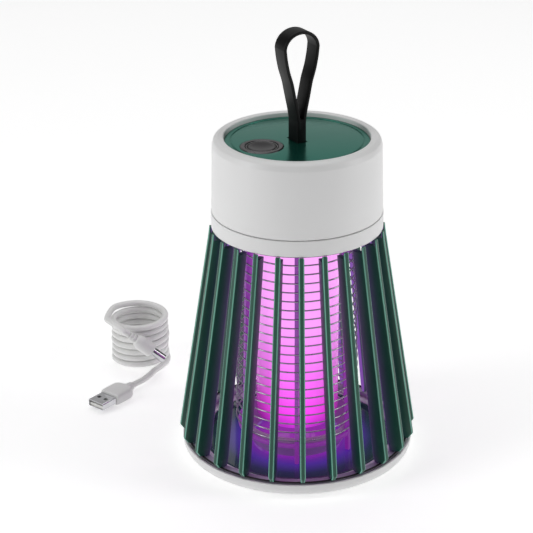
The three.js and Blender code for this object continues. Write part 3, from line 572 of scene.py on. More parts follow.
TRAY_FLOOR = 1.3
TRAY_RIM = 1.2
TRAY_SLOPE = 2.6
tray_line = rounded([
    (0, tray_low[2]), (tray_high[0], tray_low[2]), (tray_high[0], tray_high[2]),
    (tray_high[0] - TRAY_RIM, tray_high[2]), (tray_high[0] - TRAY_SLOPE, tray_low[2] + TRAY_FLOOR),
    (0, tray_low[2] + TRAY_FLOOR),
], [0, .5, .3, .3, 1.2, 0])
tray = surface("insect_tray_pan", [turned(tray_line)], tray_finish())
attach(tray, "base")
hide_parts("insect_tray")


# ----------------------------------------
# Seal and foot: two black rubber rings, one lying on the rim under the fins
# and one pressed into the groove under the dish.
def square_ring(outer, inner, low, high, corner, steps=144, about=(0.0, 0.0)):
    """A ring whose section is a rectangle between two radii and two heights, with rounded corners."""
    section = [(outer, low), (outer, high), (inner, high), (inner, low)]
    return turned(closed(section, corner), steps, about)


black_rubber = moulded("ring_rubber", tone(24, 24, 25), 0.62, spread=0.15, grain=1600, dent=0.08)
seal_low, seal_high, _ = corners_of("seal_ring")
SEAL_OUT = seal_high[0] - 1.7
SEAL_IN = seal_high[0] - 2.8
seal = surface("seal_ring_rubber", [square_ring(SEAL_OUT, SEAL_IN, seal_low[2], seal_high[2], 0.2, 160)],
               black_rubber)
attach(seal, "base")
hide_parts("seal_ring")

FOOT_WIDTH = 5.4
foot_ring = square_ring(foot_high[0], foot_high[0] - FOOT_WIDTH, foot_low[2], foot_high[2], 0.5, 160)
foot = surface("foot_ring_rubber", [foot_ring], black_rubber)
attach(foot, "base")
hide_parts("foot_ring")


# ----------------------------------------
# Fin cage: twenty-four upright fins of dark green plastic between a lower and
# an upper ring, all one moulding. Each fin leans in towards the top, has a
# rounded front edge that catches the light, with a painted highlight along its corners, and is chamfered at
# its foot.
# The lamp's violet light on the fins' inner parts is painted on as a glow.
def upright(height, inside, outside, half, corner, arc=4):
    """A bar that stands along Z and reaches out along X: at each height a rectangle from inside to outside,
    twice half wide, with its four corners rounded. Returns points, faces and, for each point, a share that
    is 1 in the middle of the two front corners and 0 on the flats."""
    height, inside, outside = (np.asarray(v, float) for v in (height, inside, outside))
    half = np.broadcast_to(np.asarray(half, float), height.shape)
    widest = np.minimum(half, (outside - inside) / 2) * 0.98
    corner = np.minimum(np.broadcast_to(corner, height.shape), widest)
    quarter = np.linspace(0, np.pi / 2, arc + 1)
    turn = np.concatenate([quarter, quarter + np.pi / 2, quarter + np.pi, quarter + 3 * np.pi / 2])
    ahead = np.repeat([1, -1, -1, 1], arc + 1)
    aside = np.repeat([1, 1, -1, -1], arc + 1)
    middle = ((outside + inside) / 2)[:, None]
    reach = ((outside - inside) / 2 - corner)[:, None]
    x = middle + ahead * reach + corner[:, None] * np.cos(turn)
    y = aside * (half - corner)[:, None] + corner[:, None] * np.sin(turn)
    z = np.broadcast_to(height[:, None], x.shape)
    faces = capped_faces(len(height), len(turn))
    # This share marks where the fins' painted highlight goes on the front corners.
    front = np.broadcast_to(np.where(np.cos(turn) > 0, np.sin(2 * turn) ** 2, 0), x.shape)
    return np.stack([x, y, z], axis=-1).reshape(-1, 3), faces, front.reshape(-1)


def spun(points, angle):
    """The points turned about the upright axis by an angle in degrees."""
    a = math.radians(angle)
    return points @ np.array([[math.cos(a), math.sin(a), 0], [-math.sin(a), math.cos(a), 0], [0, 0, 1]])


def mixed(nodes, links, share, first, second):
    """The output of a mix from the socket first to the colour second, by the socket share."""
    mix = nodes.new("ShaderNodeMix")
    mix.data_type = "RGBA"
    sockets = {socket.identifier: socket for socket in (*mix.inputs, *mix.outputs)}
    links.new(share, sockets["Factor_Float"])
    links.new(first, sockets["A_Color"])
    sockets["B_Color"].default_value = second
    return sockets["Result_Color"]


def fin_finish():
    """Dark green plastic with a painted highlight along the two rounded front corners, where they catch the
    light:
    the edge share held by each point blends the dark tone with a paler one. Inwards the fin has the lamp's
    violet light painted on as a glow, which grows as the distance from the axis falls, and most on the narrow
    face turned to the lamp."""
    material = moulded("fin_green", tone(20, 78, 62), 0.38, spread=0.12, grain=1500, dent=0.03)
    nodes, links = material.node_tree.nodes, material.node_tree.links
    shader = nodes["Principled BSDF"]
    dark = shader.inputs["Base Color"].links[0].from_socket
    share = nodes.new("ShaderNodeAttribute")
    share.attribute_name = "edge"
    # Painted highlight: the pale tone laid along the front corners.
    painted_highlight = mixed(nodes, links, share.outputs["Fac"], dark, tone(128, 200, 178))
    links.new(painted_highlight, shader.inputs["Base Color"])
    where = nodes.new("ShaderNodeTexCoord").outputs["Object"]
    split = nodes.new("ShaderNodeSeparateXYZ")
    flat = added(nodes, "VectorMath", "MULTIPLY", (1, 1, 0))
    reach = added(nodes, "VectorMath", "LENGTH")
    upright_reach = added(nodes, "Math", "MULTIPLY_ADD", FIN_LEAN)
    links.new(where, flat.inputs[0])
    links.new(where, split.inputs["Vector"])
    links.new(flat.outputs["Vector"], reach.inputs[0])
    links.new(split.outputs["Z"], upright_reach.inputs[0])
    links.new(reach.outputs["Value"], upright_reach.inputs[2])
    # Painted light: the lamp's violet light on the fin, as emission that grows inwards.
    glow = added(nodes, "MapRange", From_Min=(FIN_OUT_LOW - FIN_DEPTH_LOW + 2.0) * MM,
                 From_Max=(FIN_OUT_LOW + 0.4) * MM, To_Min=0.38, To_Max=0.0)
    sharper = added(nodes, "Math", "POWER", 2.6)
    links.new(upright_reach.outputs["Value"], glow.inputs["Value"])
    links.new(glow.outputs["Result"], sharper.inputs[0])
    outwards = added(nodes, "VectorMath", "NORMALIZE")
    turned_to = added(nodes, "VectorMath", "DOT_PRODUCT")
    # Painted light: more of the lamp's glow on the face turned to the axis.
    painted_inner_glow = added(nodes, "MapRange", From_Min=-0.9, From_Max=-0.4, To_Min=0.42, To_Max=0.0)
    links.new(flat.outputs["Vector"], outwards.inputs[0])
    links.new(outwards.outputs["Vector"], turned_to.inputs[0])
    links.new(nodes.new("ShaderNodeTexCoord").outputs["Normal"], turned_to.inputs[1])
    links.new(turned_to.outputs["Value"], painted_inner_glow.inputs["Value"])
    # Both painted glows together set the fin's emission strength.
    lit = added(nodes, "Math", "ADD")
    links.new(sharper.outputs["Value"], lit.inputs[0])
    links.new(painted_inner_glow.outputs["Result"], lit.inputs[1])
    with_values(shader, Emission_Color=tone(172, 104, 222))
    links.new(lit.outputs["Value"], shader.inputs["Emission Strength"])
    return material


FINS = 24
FIN_DEPTH_LOW = 9.4
FIN_DEPTH_HIGH = 7.5
FIN_HALF = 1.5
FIN_CORNER = 0.75
FIN_LEAN = 0.142
fin_low, fin_high, _ = corners_of("fin_01")
collar_low, collar_high, _ = corners_of("collar")
top_ring_low, top_ring_high, _ = corners_of("cage_top_ring")
FIN_OUT_LOW = -fin_low[1]
FIN_OUT_HIGH = collar_high[0] + 1.8
FIN_FOOT_Z = fin_low[2] + 0.8
FIN_WIDE_Z = FIN_FOOT_Z + 3.3
FIN_BEND_Z = fin_high[2] - 6
RING_OUT = lug_high[0]


def fin_front(z):
    """The fin's outer edge: a chamfer at the foot, a straight lean inwards, and a short bend at the top."""
    return np.interp(z, [FIN_FOOT_Z, FIN_WIDE_Z, FIN_BEND_Z, fin_high[2]],
                     [FIN_OUT_LOW - 2.3, FIN_OUT_LOW, FIN_OUT_HIGH, FIN_OUT_HIGH - 0.8])


def fin_back(z):
    """The fin's inner edge, parallel to the lean and a little shallower towards the top."""
    lean = FIN_OUT_LOW + (FIN_OUT_HIGH - FIN_OUT_LOW) * (z - FIN_WIDE_Z) / (FIN_BEND_Z - FIN_WIDE_Z)
    share = (z - FIN_FOOT_Z) / (fin_high[2] - FIN_FOOT_Z)
    return lean - FIN_DEPTH_LOW + (FIN_DEPTH_LOW - FIN_DEPTH_HIGH) * share


under_top = top_ring_low[2] - 0.3
fin_z = np.concatenate([
    [fin_low[2], fin_low[2] + 0.3, FIN_FOOT_Z, FIN_FOOT_Z + 0.02, FIN_FOOT_Z + 0.3],
    np.linspace(FIN_FOOT_Z + 0.9, FIN_WIDE_Z + 2, 9), np.linspace(FIN_WIDE_Z + 6, FIN_BEND_Z - 1, 22),
    np.linspace(FIN_BEND_Z, under_top, 5), [under_top + 0.02], np.linspace(under_top + 0.3, fin_high[2], 5)])
# The foot stays inside the low ring's edge and the top tongue reaches in under the collar.
fin_out = fin_front(fin_z)
fin_out[:3] = RING_OUT
fin_out[3] -= 0.5
fin_in = fin_back(fin_z)
fin_in[0] += 0.3
fin_in[-6:] = collar_high[0] - 0.2
fin_half = FIN_HALF - 0.45 * np.clip((FIN_WIDE_Z + 1 - fin_z) / 4.3, 0, 1)
fin_half[0] -= 0.2
fin_half[-1] -= 0.25
fin_points, fin_faces, fin_edge_highlight = upright(fin_z, fin_in, fin_out, fin_half, FIN_CORNER)
fin_green = fin_finish()
for number in range(FINS):
    turned_fin = spun(fin_points, -90 + number * 360 / FINS)
    fin = surface(f"fin_{number + 1:02d}_blade", [(turned_fin, fin_faces)], fin_green, crease=50)
    # The edge attribute carries the painted highlight along each fin's front corners.
    edge = fin.data.attributes.new("edge", "FLOAT", "POINT")
    placed = np.empty(len(fin.data.vertices) * 3)
    fin.data.vertices.foreach_get("co", placed)
    nearest = np.linalg.norm(placed.reshape(-1, 1, 3) / MM - turned_fin[None], axis=2).argmin(axis=1)
    edge.data.foreach_set("value", fin_edge_highlight[nearest].astype(np.float32))
    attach(fin, "cage")
    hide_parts(f"fin_{number + 1:02d}")

cage_green = moulded("cage_green", tone(28, 74, 66), 0.36, spread=0.1, grain=1500, dent=0.03)
# The lower ring's pale grey stands in for the white ledge seen between the fin feet, and its lilac tint is
# the lamp's light, painted on.
ring_lilac = moulded("ring_lilac", tone(186, 182, 196), 0.4, spread=0.04, grain=1500, dent=0.03)
RING_WIDTH = 4.0
RING_HEIGHT = 2.4
ring_top = lug_high[2]
LUG_HALF_ANGLE = 4
low_ring_band = square_ring(RING_OUT, RING_OUT - RING_WIDTH, ring_top - RING_HEIGHT, ring_top, 0.4)
low_ring = surface("cage_lower_ring", [low_ring_band], ring_lilac)
for lug_angle in LUG_ANGLES:
    start, stop = lug_angle - LUG_HALF_ANGLE, lug_angle + LUG_HALF_ANGLE
    lug_stem = arc_block(LUG_R - LUG_STEM, LUG_R + LUG_STEM, start, stop, lug_low[2], ring_top - 1)
    lug_head = arc_block(LUG_R - LUG_HEAD, LUG_R + LUG_HEAD, start, stop, lug_low[2], lug_low[2] + 1.4)
    carve(low_ring, [lug_stem], "UNION")
    carve(low_ring, [lug_head], "UNION")
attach(low_ring, "cage")
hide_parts("cage_low_ring")

COLLAR_WALL = 8.2
TOP_RING_IN = collar_high[0] - COLLAR_WALL + 1
TOP_RING_OUT = top_ring_high[0] - 2
top_ring = surface("cage_upper_ring", [turned(closed([
    (TOP_RING_OUT, top_ring_high[2] - 0.9), (TOP_RING_OUT, top_ring_high[2]),
    (TOP_RING_IN, top_ring_high[2]), (TOP_RING_IN, top_ring_low[2] + 0.3)], 0.25))], cage_green)
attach(top_ring, "cage")
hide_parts("cage_top_ring")


# ----------------------------------------
# Collar: white ring moulding over the cage's top, whose bore takes the spigot
# of the head.
COLLAR_BORE = collar_high[0] - COLLAR_WALL
collar_band = square_ring(collar_high[0], COLLAR_BORE, collar_low[2], collar_high[2],
                          [0.5, 0.35, 0.5, 0.4], 192)
collar = surface("collar_ring", [collar_band], white_shell)
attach(collar, "cage")
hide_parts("collar")


# ----------------------------------------
# Cap: white head shell with a softly rounded top edge, a rim round the sunk
# panel, a seat under it and a round hole for the charging jack. Below it the
# head floor closes the shell and its spigot drops into the collar.
HEAD_TURN = 27.7
cap_low, cap_high, _ = corners_of("cap_shell")
panel_low, panel_high, _ = corners_of("top_panel")
CAP_R_LOW = collar_high[0] - 0.3
CAP_R_HIGH = CAP_R_LOW - 0.9
CAP_BORE = CAP_R_LOW - 2.8
PANEL_PLAY = 0.4
PANEL_R = CAP_R_HIGH - 6.3 - PANEL_PLAY
seat_z = panel_low[2] - 0.3
cap_line = closed([
    (CAP_R_LOW, cap_low[2]), (CAP_R_HIGH, cap_high[2] - 4.1), (CAP_R_HIGH - 0.9, cap_high[2] - 1.2),
    (CAP_R_HIGH - 3, cap_high[2]), (PANEL_R + PANEL_PLAY, cap_high[2]), (PANEL_R + PANEL_PLAY, seat_z),
    (PANEL_R - 2.8, seat_z), (PANEL_R - 2.8, seat_z - 1.5), (CAP_BORE - 0.3, seat_z - 4),
    (CAP_BORE, cap_low[2]),
], [0.4, 2.5, 2.2, 1.2, 0.8, 0.3, 0.3, 0.3, 1.0, 0.3], steps=7)
cap = surface("cap_moulding", [turned(cap_line, 192)], white_shell)
_, _, jack_middle = corners_of("dc_jack")
JACK_HOLE_R = 4.1
HOLE_START, HOLE_END = 38, 50
jack_hole_points, jack_hole_faces = turned([
    (0, HOLE_START), (JACK_HOLE_R, HOLE_START), (JACK_HOLE_R, HOLE_END), (0, HOLE_END)], 48)
along_x = jack_hole_points @ np.array([[0, 0, -1], [0, 1, 0], [1, 0, 0]]) + (0, 0, jack_middle[2])
carve(cap, [(spun(along_x, HEAD_TURN), jack_hole_faces)])
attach(cap, "head")
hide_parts("cap_shell")

floor_low, floor_high, _ = corners_of("head_floor")
SPIGOT_R = COLLAR_BORE - 0.4
SPIGOT_IN = SPIGOT_R - 2.1
plate_z = floor_high[2] - 2
head_floor = surface("head_floor_plate", [turned(rounded([
    (0, plate_z), (SPIGOT_IN, plate_z), (SPIGOT_IN, floor_low[2]), (SPIGOT_R, floor_low[2]),
    (SPIGOT_R, plate_z), (floor_high[0], plate_z), (floor_high[0], floor_high[2]), (0, floor_high[2]),
], [0, .3, .4, .6, .3, .3, .3, 0]))], white_shell)
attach(head_floor, "head")
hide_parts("head_floor")


# ----------------------------------------
# Top panel: satin green disc sunk in the cap, with a fine groove near its
# edge, a hole for the button and a slot for the strap.
GROOVE_R = PANEL_R - 3.2
GROOVE_HALF = 0.3
groove_z = panel_high[2] - 0.4
panel_line = rounded([
    (0, panel_low[2]), (PANEL_R, panel_low[2]), (PANEL_R, panel_high[2]),
    (GROOVE_R + GROOVE_HALF, panel_high[2]), (GROOVE_R + GROOVE_HALF, groove_z),
    (GROOVE_R - GROOVE_HALF, groove_z), (GROOVE_R - GROOVE_HALF, panel_high[2]), (0, panel_high[2]),
], [0, .3, .35, .12, .1, .1, .12, 0])
panel_green = moulded("panel_green", tone(34, 130, 112), 0.2, spread=0.03, grain=1300, dent=0.012,
                      Metallic=0.9)
panel = surface("top_panel_disc", [turned(panel_line, 192)], panel_green)
bezel_low, bezel_high, bezel_middle = corners_of("button_bezel")
BEZEL_R = (bezel_high[0] - bezel_low[0]) / 2
BUTTON_HOLE_R = 9.8
button_seat = turned([
    (0, panel_low[2] - 1), (BUTTON_HOLE_R, panel_low[2] - 1), (BUTTON_HOLE_R, panel_high[2] - 1),
    (BEZEL_R + 0.3, panel_high[2] - 1), (BEZEL_R + 0.3, panel_high[2] + 1), (0, panel_high[2] + 1),
], 96, bezel_middle[:2])
carve(panel, [button_seat])
SLOT_X, SLOT_Y = 6.4, 11.7
slot_points, slot_faces = brick((-SLOT_X / 2, -SLOT_Y / 2, panel_low[2] - 1),
                                (SLOT_X / 2, SLOT_Y / 2, panel_high[2] + 1))
carve(panel, [(spun(slot_points, HEAD_TURN), slot_faces)])
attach(panel, "head")
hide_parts("top_panel")


# ----------------------------------------
# Power button: grey-brown metal bezel pressed into the panel, a thin light
# ring of clear plastic inside it, and the dished dark cap that is pressed.
light_low, light_high, _ = corners_of("button_light_ring")
button_low, button_high, _ = corners_of("power_button")
BUTTON_R = (button_high[0] - button_low[0]) / 2
LIGHT_R = (light_high[0] - light_low[0]) / 2
BEZEL_IN = LIGHT_R + 0.3
bezel_line = closed([
    (BEZEL_IN + 0.7, bezel_low[2]), (BEZEL_IN + 0.7, bezel_high[2] - 1), (BEZEL_R, bezel_high[2] - 1),
    (BEZEL_R, bezel_high[2] - 0.25), (BEZEL_R - 0.7, bezel_high[2]), (BEZEL_IN + 0.5, bezel_high[2]),
    (BEZEL_IN, bezel_high[2] - 0.5), (BEZEL_IN, bezel_low[2]),
], [.1, .1, .2, .25, .5, .4, .3, .1])
bezel_metal = moulded("bezel_metal", tone(94, 92, 94), 0.26, spread=0.12, grain=900, dent=0.03, drift=90,
                      Metallic=0.9)
bezel = surface("button_bezel_ring", [turned(bezel_line, 128, bezel_middle[:2])], bezel_metal)
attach(bezel, "head")
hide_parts("button_bezel")

LIGHT_WALL = 0.45
light_plastic = moulded("light_ring_clear", tone(128, 128, 128), 0.25, spread=0.04, Transmission_Weight=0.25)
light_band = square_ring(LIGHT_R, LIGHT_R - LIGHT_WALL, light_low[2], light_high[2], [.05, .2, .2, .05],
                         128, bezel_middle[:2])
light_ring = surface("button_light_guide", [light_band], light_plastic)
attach(light_ring, "head")
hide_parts("button_light_ring")

DISH_R = 6.3
DISH_DEPTH = 0.9
dish = np.linspace(0, 1, 12)[::-1]
button_dish = np.column_stack([DISH_R * dish, button_high[2] - DISH_DEPTH * (1 - dish ** 2)])
button_line = np.vstack([rounded([
    (0, button_low[2]), (BUTTON_R, button_low[2]), (BUTTON_R, button_high[2]),
    (DISH_R + 0.3, button_high[2])], [0, .2, .45, 0]), button_dish])
button_dark = moulded("button_dark", tone(56, 54, 56), 0.3, spread=0.1, grain=1000, dent=0.03, Metallic=0.45)
button = surface("power_button_cap", [turned(button_line, 96, bezel_middle[:2])], button_dark)
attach(button, "button")
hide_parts("power_button")


# ----------------------------------------
# Carry strap: black rubber loop moulded in one piece. Two flat legs rise from
# a thick root, part at a notch and meet again in a rounded top. The root goes
# down through the slot and is held under the panel.
PIVOT_Z = panel_high[2] + 2.4
_, strap_high, _ = corners_of("carry_strap")
STRAP_HALF = 5.25
STRAP_THICK = 1.8
ROOT_HALF = 2.6
ROOT_INSET = 0.01
BULGE_X, BULGE_RISE = 10.75, 48.5
# Half the width of the loop at heights above the pivot, up to its widest place.
side_x = np.array([2.55, 2.62, 3.35, 4.5, 5.6, 6.7, 7.85, 8.95, 10.15, BULGE_X])
side_rise = np.array([5.0, 9.0, 14.2, 19.5, 24.8, 30.0, 33.7, 37.4, 43.4, BULGE_RISE])
crown_height = strap_high[2] - PIVOT_Z - BULGE_RISE
crown = np.linspace(0, np.pi, 33)[1:-1]
outer_line = smooth_line(np.column_stack([
    np.concatenate([side_x, BULGE_X * np.cos(crown), -side_x[::-1]]),
    np.concatenate([side_rise, BULGE_RISE + crown_height * np.sin(crown), side_rise[::-1]]),
    np.zeros(2 * len(side_x) + len(crown))]), 3)[:, :2]
heading = np.gradient(outer_line, axis=0)
heading /= np.linalg.norm(heading, axis=1)[:, None]
inward = np.column_stack([-heading[:, 1], heading[:, 0]])
band_round = closed([
    (0, -STRAP_HALF), (0, STRAP_HALF), (STRAP_THICK, STRAP_HALF), (STRAP_THICK, -STRAP_HALF),
], 0.62, steps=4)[:-1]
band_x = outer_line[:, 0, None] + inward[:, 0, None] * band_round[None, :, 0]
band_z = outer_line[:, 1, None] + inward[:, 1, None] * band_round[None, :, 0]
band_y = np.broadcast_to(band_round[None, :, 1], band_x.shape)
band_points = np.stack([band_x, band_y, PIVOT_Z + band_z], axis=-1).reshape(-1, 3)
band_faces = capped_faces(len(outer_line), len(band_round))
root_z = np.concatenate([
    [panel_low[2] + 0.4, panel_low[2] + 0.8], np.linspace(panel_high[2] - 0.8, PIVOT_Z + 9.2, 16),
    [PIVOT_Z + 9.8, PIVOT_Z + 10]])
root_half = np.full(len(root_z), ROOT_HALF)
root_half[[0, -1]] -= 0.5
root_points, root_faces, _ = upright(root_z, -root_half, root_half, STRAP_HALF - ROOT_INSET, 0.7)
strap_rubber = moulded("strap_rubber", tone(12, 12, 13), 0.42, spread=0.12, grain=1300, dent=0.05, drift=45,
                       Specular_IOR_Level=0.18)
strap = surface("strap_loop", [(spun(band_points, HEAD_TURN), band_faces)], strap_rubber)
carve(strap, [(spun(root_points, HEAD_TURN), root_faces)], "UNION")
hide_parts("carry_strap")
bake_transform(strap)


# ----------------------------------------
# Grid frame: six posts of lilac-grey translucent plastic between two rings, one
# moulding hung under the head floor. The lamp's light through it is painted on
# as a violet glow. Each post has a notch for every wire.
frame_low, frame_high, _ = corners_of("grid_frame")
WIRE = 0.9
WIRE_PITCH = 5.2
WIRES = 22
GRID_R_LOW, GRID_R_HIGH = 34.5, 31.5
WIRE_LOW_Z = 19.5
wire_z = WIRE_LOW_Z + WIRE_PITCH * np.arange(WIRES)


def grid_radius(z):
    """The middle of the wire rings, on a cone that narrows upwards."""
    return GRID_R_LOW + (GRID_R_HIGH - GRID_R_LOW) * (z - WIRE_LOW_Z) / (wire_z[-1] - WIRE_LOW_Z)


def post_front(z):
    """The posts' outer face between two notches, a little inside the wires."""
    return grid_radius(z) - WIRE / 2 - 0.3


POST_HALF = 1.15
POST_TURN = -93.2
POST_DEPTH = 2.4
HANG_Z = frame_high[2]
TOOTH = 0.95
FRAME_WALL = 2.35
LOW_RING_Z = 14.0
notch = WIRE / 2 + 0.12
tooth_edges = np.concatenate([wire_z - notch - 0.02, wire_z - notch, wire_z + notch, wire_z + notch + 0.02])
post_z = np.unique(np.concatenate([
    [frame_low[2], frame_low[2] + 0.4], np.linspace(frame_low[2] + 1, WIRE_LOW_Z - 2, 6), tooth_edges,
    np.linspace(wire_z[-1] + 1.4, HANG_Z - 4.5, 4), [HANG_Z - 0.3, HANG_Z]]))
gap_to_wire = np.abs(post_z[:, None] - wire_z[None]).min(axis=1)
toothed = (post_z > WIRE_LOW_Z - 1) & (post_z < wire_z[-1] + 1)
post_in = post_front(post_z) - POST_DEPTH
post_out = np.where(toothed & (gap_to_wire > notch + 0.01), post_front(post_z) + TOOTH, post_front(post_z))
post_half = np.full(len(post_z), POST_HALF)
post_half[0] -= 0.25
post_points, post_faces, _ = upright(post_z, post_in, post_out, post_half, 0.3, 2)
# Painted light: the lamp's light through the translucent plastic, as a violet emission.
grid_grey = moulded("grid_grey", tone(112, 92, 122), 0.4, spread=0.06, grain=1200, dent=0.03,
                    Emission_Color=tone(186, 44, 220), Emission_Strength=0.3)
frame_shells = [(spun(post_points, POST_TURN + 60 * k), post_faces) for k in range(6)]
ring_face, low_face = post_front(HANG_Z), post_front(LOW_RING_Z)
frame_shells += [
    square_ring(ring_face - 0.05, ring_face - FRAME_WALL, HANG_Z - 4, HANG_Z - 0.02, 0.3),
    square_ring(low_face - 0.35, low_face - FRAME_WALL, LOW_RING_Z, LOW_RING_Z + 2, 0.3),
]
grid_frame = surface("grid_frame_posts", frame_shells, grid_grey)
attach(grid_frame, "head")
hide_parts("grid_frame")


# ----------------------------------------
# Electric grid: two sets of round steel wire rings pressed into the posts'
# notches, every second ring in the same set. Each set is joined by one upright
# wire that leads up to the electronics.
def hoop(radius, height, thick, steps=120, sides=10):
    """A torus: a circle of the wire's section carried round the axis."""
    turn = np.linspace(0, 2 * np.pi, sides + 1)
    section = np.column_stack([radius + thick / 2 * np.cos(turn), height + thick / 2 * np.sin(turn)])
    return turned(section, steps)


def stick(start, stop, thick, sides=10):
    """A straight round wire that leans at most a little from the upright."""
    level = np.linspace(0, 1, 5)[:, None]
    line = np.asarray(start) + level * (np.asarray(stop) - start)
    turn = np.linspace(0, 2 * np.pi, sides, endpoint=False)
    ring_points = np.stack([thick / 2 * np.cos(turn), thick / 2 * np.sin(turn), np.zeros(sides)], axis=-1)
    return (line[:, None] + ring_points[None]).reshape(-1, 3), capped_faces(len(line), sides)


BUS_OFFSET = 0.75
wire_steel = moulded("wire_steel", tone(178, 176, 182), 0.28, spread=0.12, grain=1500, dent=0.04, drift=120,
                     Metallic=1.0)
for set_name, first, bus_angle in (("a", 0, 75), ("b", 1, 105)):
    shells = [hoop(grid_radius(z), z, WIRE) for z in wire_z[first::2]]
    foot_z = wire_z[first] - WIRE / 2
    bus_low = (grid_radius(foot_z) + BUS_OFFSET + WIRE / 2, 0, foot_z)
    bus_high = (grid_radius(HANG_Z) + BUS_OFFSET + WIRE / 2, 0, HANG_Z)
    bus_points, bus_faces = stick(bus_low, bus_high, WIRE)
    shells.append((spun(bus_points, bus_angle), bus_faces))
    wires = surface(f"grid_wire_rings_{set_name}", shells, wire_steel, crease=60)
    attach(wires, "head")
    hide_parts(f"grid_wires_{set_name}")


# ----------------------------------------
# Bowl: funnel of smoky translucent plastic with a low lip, moulded in one
# piece and hung under the grid frame, so that insects slide down into the tray.
bowl_low, bowl_high, _ = corners_of("grid_bowl")
BOWL_FOOT_R = 26.5
BOWL_WALL = 1.3
BOWL_LIP = 5.2
# Painted light: the lamp's light through the smoky plastic, as a faint violet emission.
bowl_smoke = moulded("bowl_smoke", tone(168, 148, 166), 0.3, spread=0.06, grain=900, dent=0.02,
                     Transmission_Weight=0.12, Emission_Color=tone(150, 92, 172), Emission_Strength=0.16)
bowl = surface("grid_bowl_funnel", [turned(closed([
    (BOWL_FOOT_R, bowl_low[2]), (bowl_high[0], bowl_high[2]), (bowl_high[0], bowl_high[2] + BOWL_LIP),
    (bowl_high[0] - BOWL_WALL, bowl_high[2] + BOWL_LIP), (bowl_high[0] - BOWL_WALL, bowl_high[2]),
    (BOWL_FOOT_R - BOWL_WALL, bowl_low[2])], [.4, 1, .3, .3, 1, .4]))], bowl_smoke)
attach(bowl, "head")
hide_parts("grid_bowl")


# ----------------------------------------
# Lamp: closed translucent tube lit from inside by the board of lights. The
# board faces front and back, so the tube is brightest there and pinker at its
# dim lower end. A white ring clamps it under the head floor.
def lamp_finish():
    """Glowing plastic: the glow's colour runs from violet at the lower end to pinkish white higher up, and
    falls off round the sides, by the height and by how far a point lies from the board's plane, most in the
    lower half. The flat lower end, which faces the tray, glows several times as strongly."""
    material, nodes, links, shader = new_material("lamp_glow")
    where = nodes.new("ShaderNodeTexCoord").outputs["Object"]
    split = nodes.new("ShaderNodeSeparateXYZ")
    height = added(nodes, "MapRange", From_Min=lamp_low[2] * MM, From_Max=lamp_high[2] * MM)
    wave = added(nodes, "TexNoise", Scale=40)
    stir = added(nodes, "Math", "MULTIPLY_ADD", 0.06)
    glow = colour_ramp(
        nodes, (0.02, tone(170, 40, 190)), (0.10, tone(255, 70, 248)), (0.28, tone(252, 112, 250)),
        (0.52, tone(253, 156, 252)), (0.95, tone(255, 178, 252)))
    links.new(where, split.inputs["Vector"])
    links.new(where, wave.inputs["Vector"])
    links.new(split.outputs["Z"], height.inputs["Value"])
    links.new(wave.outputs["Fac"], stir.inputs[0])
    links.new(height.outputs["Result"], stir.inputs[2])
    links.new(stir.outputs["Value"], glow.inputs["Fac"])
    depth = added(nodes, "Math", "MULTIPLY")
    side_glow = added(nodes, "MapRange", From_Max=0.6, To_Min=0.12, To_Max=0.8)
    facing = added(nodes, "MapRange", From_Min=0.0, From_Max=(lamp_high[0] * MM) ** 2, To_Max=0.98)
    links.new(split.outputs["Y"], depth.inputs[0])
    links.new(split.outputs["Y"], depth.inputs[1])
    links.new(height.outputs["Result"], side_glow.inputs["Value"])
    links.new(side_glow.outputs["Result"], facing.inputs["To Min"])
    links.new(depth.outputs["Value"], facing.inputs["Value"])
    under = added(nodes, "MapRange", From_Min=lamp_low[2] * MM, From_Max=(lamp_low[2] + 1.2) * MM,
                  To_Min=2.5, To_Max=1.0)
    strength = added(nodes, "Math", "MULTIPLY")
    links.new(split.outputs["Z"], under.inputs["Value"])
    links.new(facing.outputs["Result"], strength.inputs[0])
    links.new(under.outputs["Result"], strength.inputs[1])
    links.new(strength.outputs["Value"], shader.inputs["Emission Strength"])
    body = added(nodes, "HueSaturation", Value=0.22)
    links.new(glow.outputs["Color"], shader.inputs["Emission Color"])
    links.new(glow.outputs["Color"], body.inputs["Color"])
    links.new(body.outputs["Color"], shader.inputs["Base Color"])
    with_values(shader, Roughness=0.22)
    return material


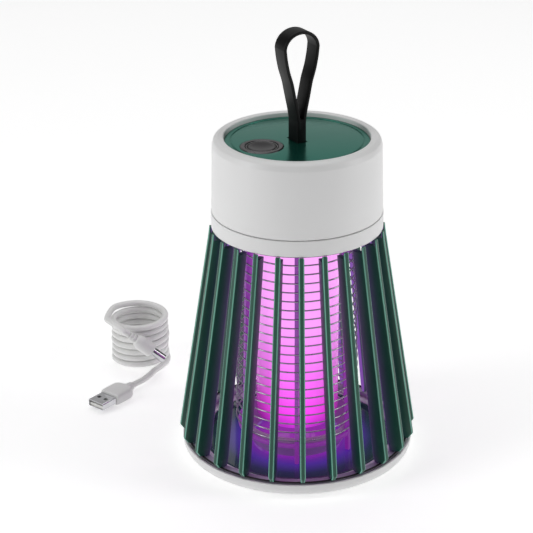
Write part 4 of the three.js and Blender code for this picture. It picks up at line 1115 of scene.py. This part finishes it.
lamp_low, lamp_high, _ = corners_of("lamp_tube")
LAMP_WALL = 1.5
lamp_r = lamp_high[0]
lamp = surface("lamp_tube_glow", [turned(rounded([
    (0, lamp_low[2]), (lamp_r, lamp_low[2]), (lamp_r, lamp_high[2]), (lamp_r - LAMP_WALL, lamp_high[2]),
    (lamp_r - LAMP_WALL, lamp_low[2] + LAMP_WALL), (0, lamp_low[2] + LAMP_WALL),
], [0, 3, .2, .2, 1.5, 0]))], lamp_finish())
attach(lamp, "head")
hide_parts("lamp_tube")

clamp_low, clamp_high, _ = corners_of("lamp_clamp")
clamp_band = square_ring(clamp_high[0], lamp_r + 0.3, clamp_low[2], clamp_high[2], 0.4)
lamp_clamp = surface("lamp_clamp_ring", [clamp_band], white_shell)
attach(lamp_clamp, "head")
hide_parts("lamp_clamp")


# ----------------------------------------
# Pieces inside the head: the carried-over solids for the boards, the cell, the
# high-voltage parts, the switch, the jack and the strap's anchor get their own
# finishes.
def board_finish():
    """Green circuit board: solder mask with a fine pattern of tracks cut by a cell texture."""
    material = moulded("circuit_board", tone(30, 92, 54), 0.4, spread=0.12, grain=1800)
    nodes, links = material.node_tree.nodes, material.node_tree.links
    shader = nodes["Principled BSDF"]
    mask = shader.inputs["Base Color"].links[0].from_socket
    tracks = nodes.new("ShaderNodeTexVoronoi")
    tracks.distance = "MANHATTAN"
    tracks.feature = "DISTANCE_TO_EDGE"
    with_values(tracks, Scale=260)
    ramp = colour_ramp(nodes, (0.04, (0.25, 0.25, 0.25, 1)), (0.08, (0, 0, 0, 1)))
    links.new(nodes.new("ShaderNodeTexCoord").outputs["Object"], tracks.inputs["Vector"])
    links.new(tracks.outputs["Distance"], ramp.inputs["Fac"])
    board = mixed(nodes, links, ramp.outputs["Color"], mask, tone(120, 160, 90))
    links.new(board, shader.inputs["Base Color"])
    return material


board_green = board_finish()
cell_wrap = moulded("cell_wrap", tone(58, 98, 168), 0.3, spread=0.08, grain=400, dent=0.02)
part_black = moulded("part_black", tone(34, 34, 37), 0.42, spread=0.15, grain=1200, dent=0.05)
for node, finish in (
    ("led_board", board_green), ("control_board", board_green), ("battery_cell", cell_wrap),
    ("hv_capacitor", cell_wrap), ("hv_transformer", part_black), ("power_switch", part_black),
    ("strap_anchor", part_black), ("dc_jack", part_black),
):
    kept = bpy.data.objects[node]
    for slot in kept.material_slots:
        slot.material = finish
    if not kept.material_slots:
        kept.data.materials.append(finish)
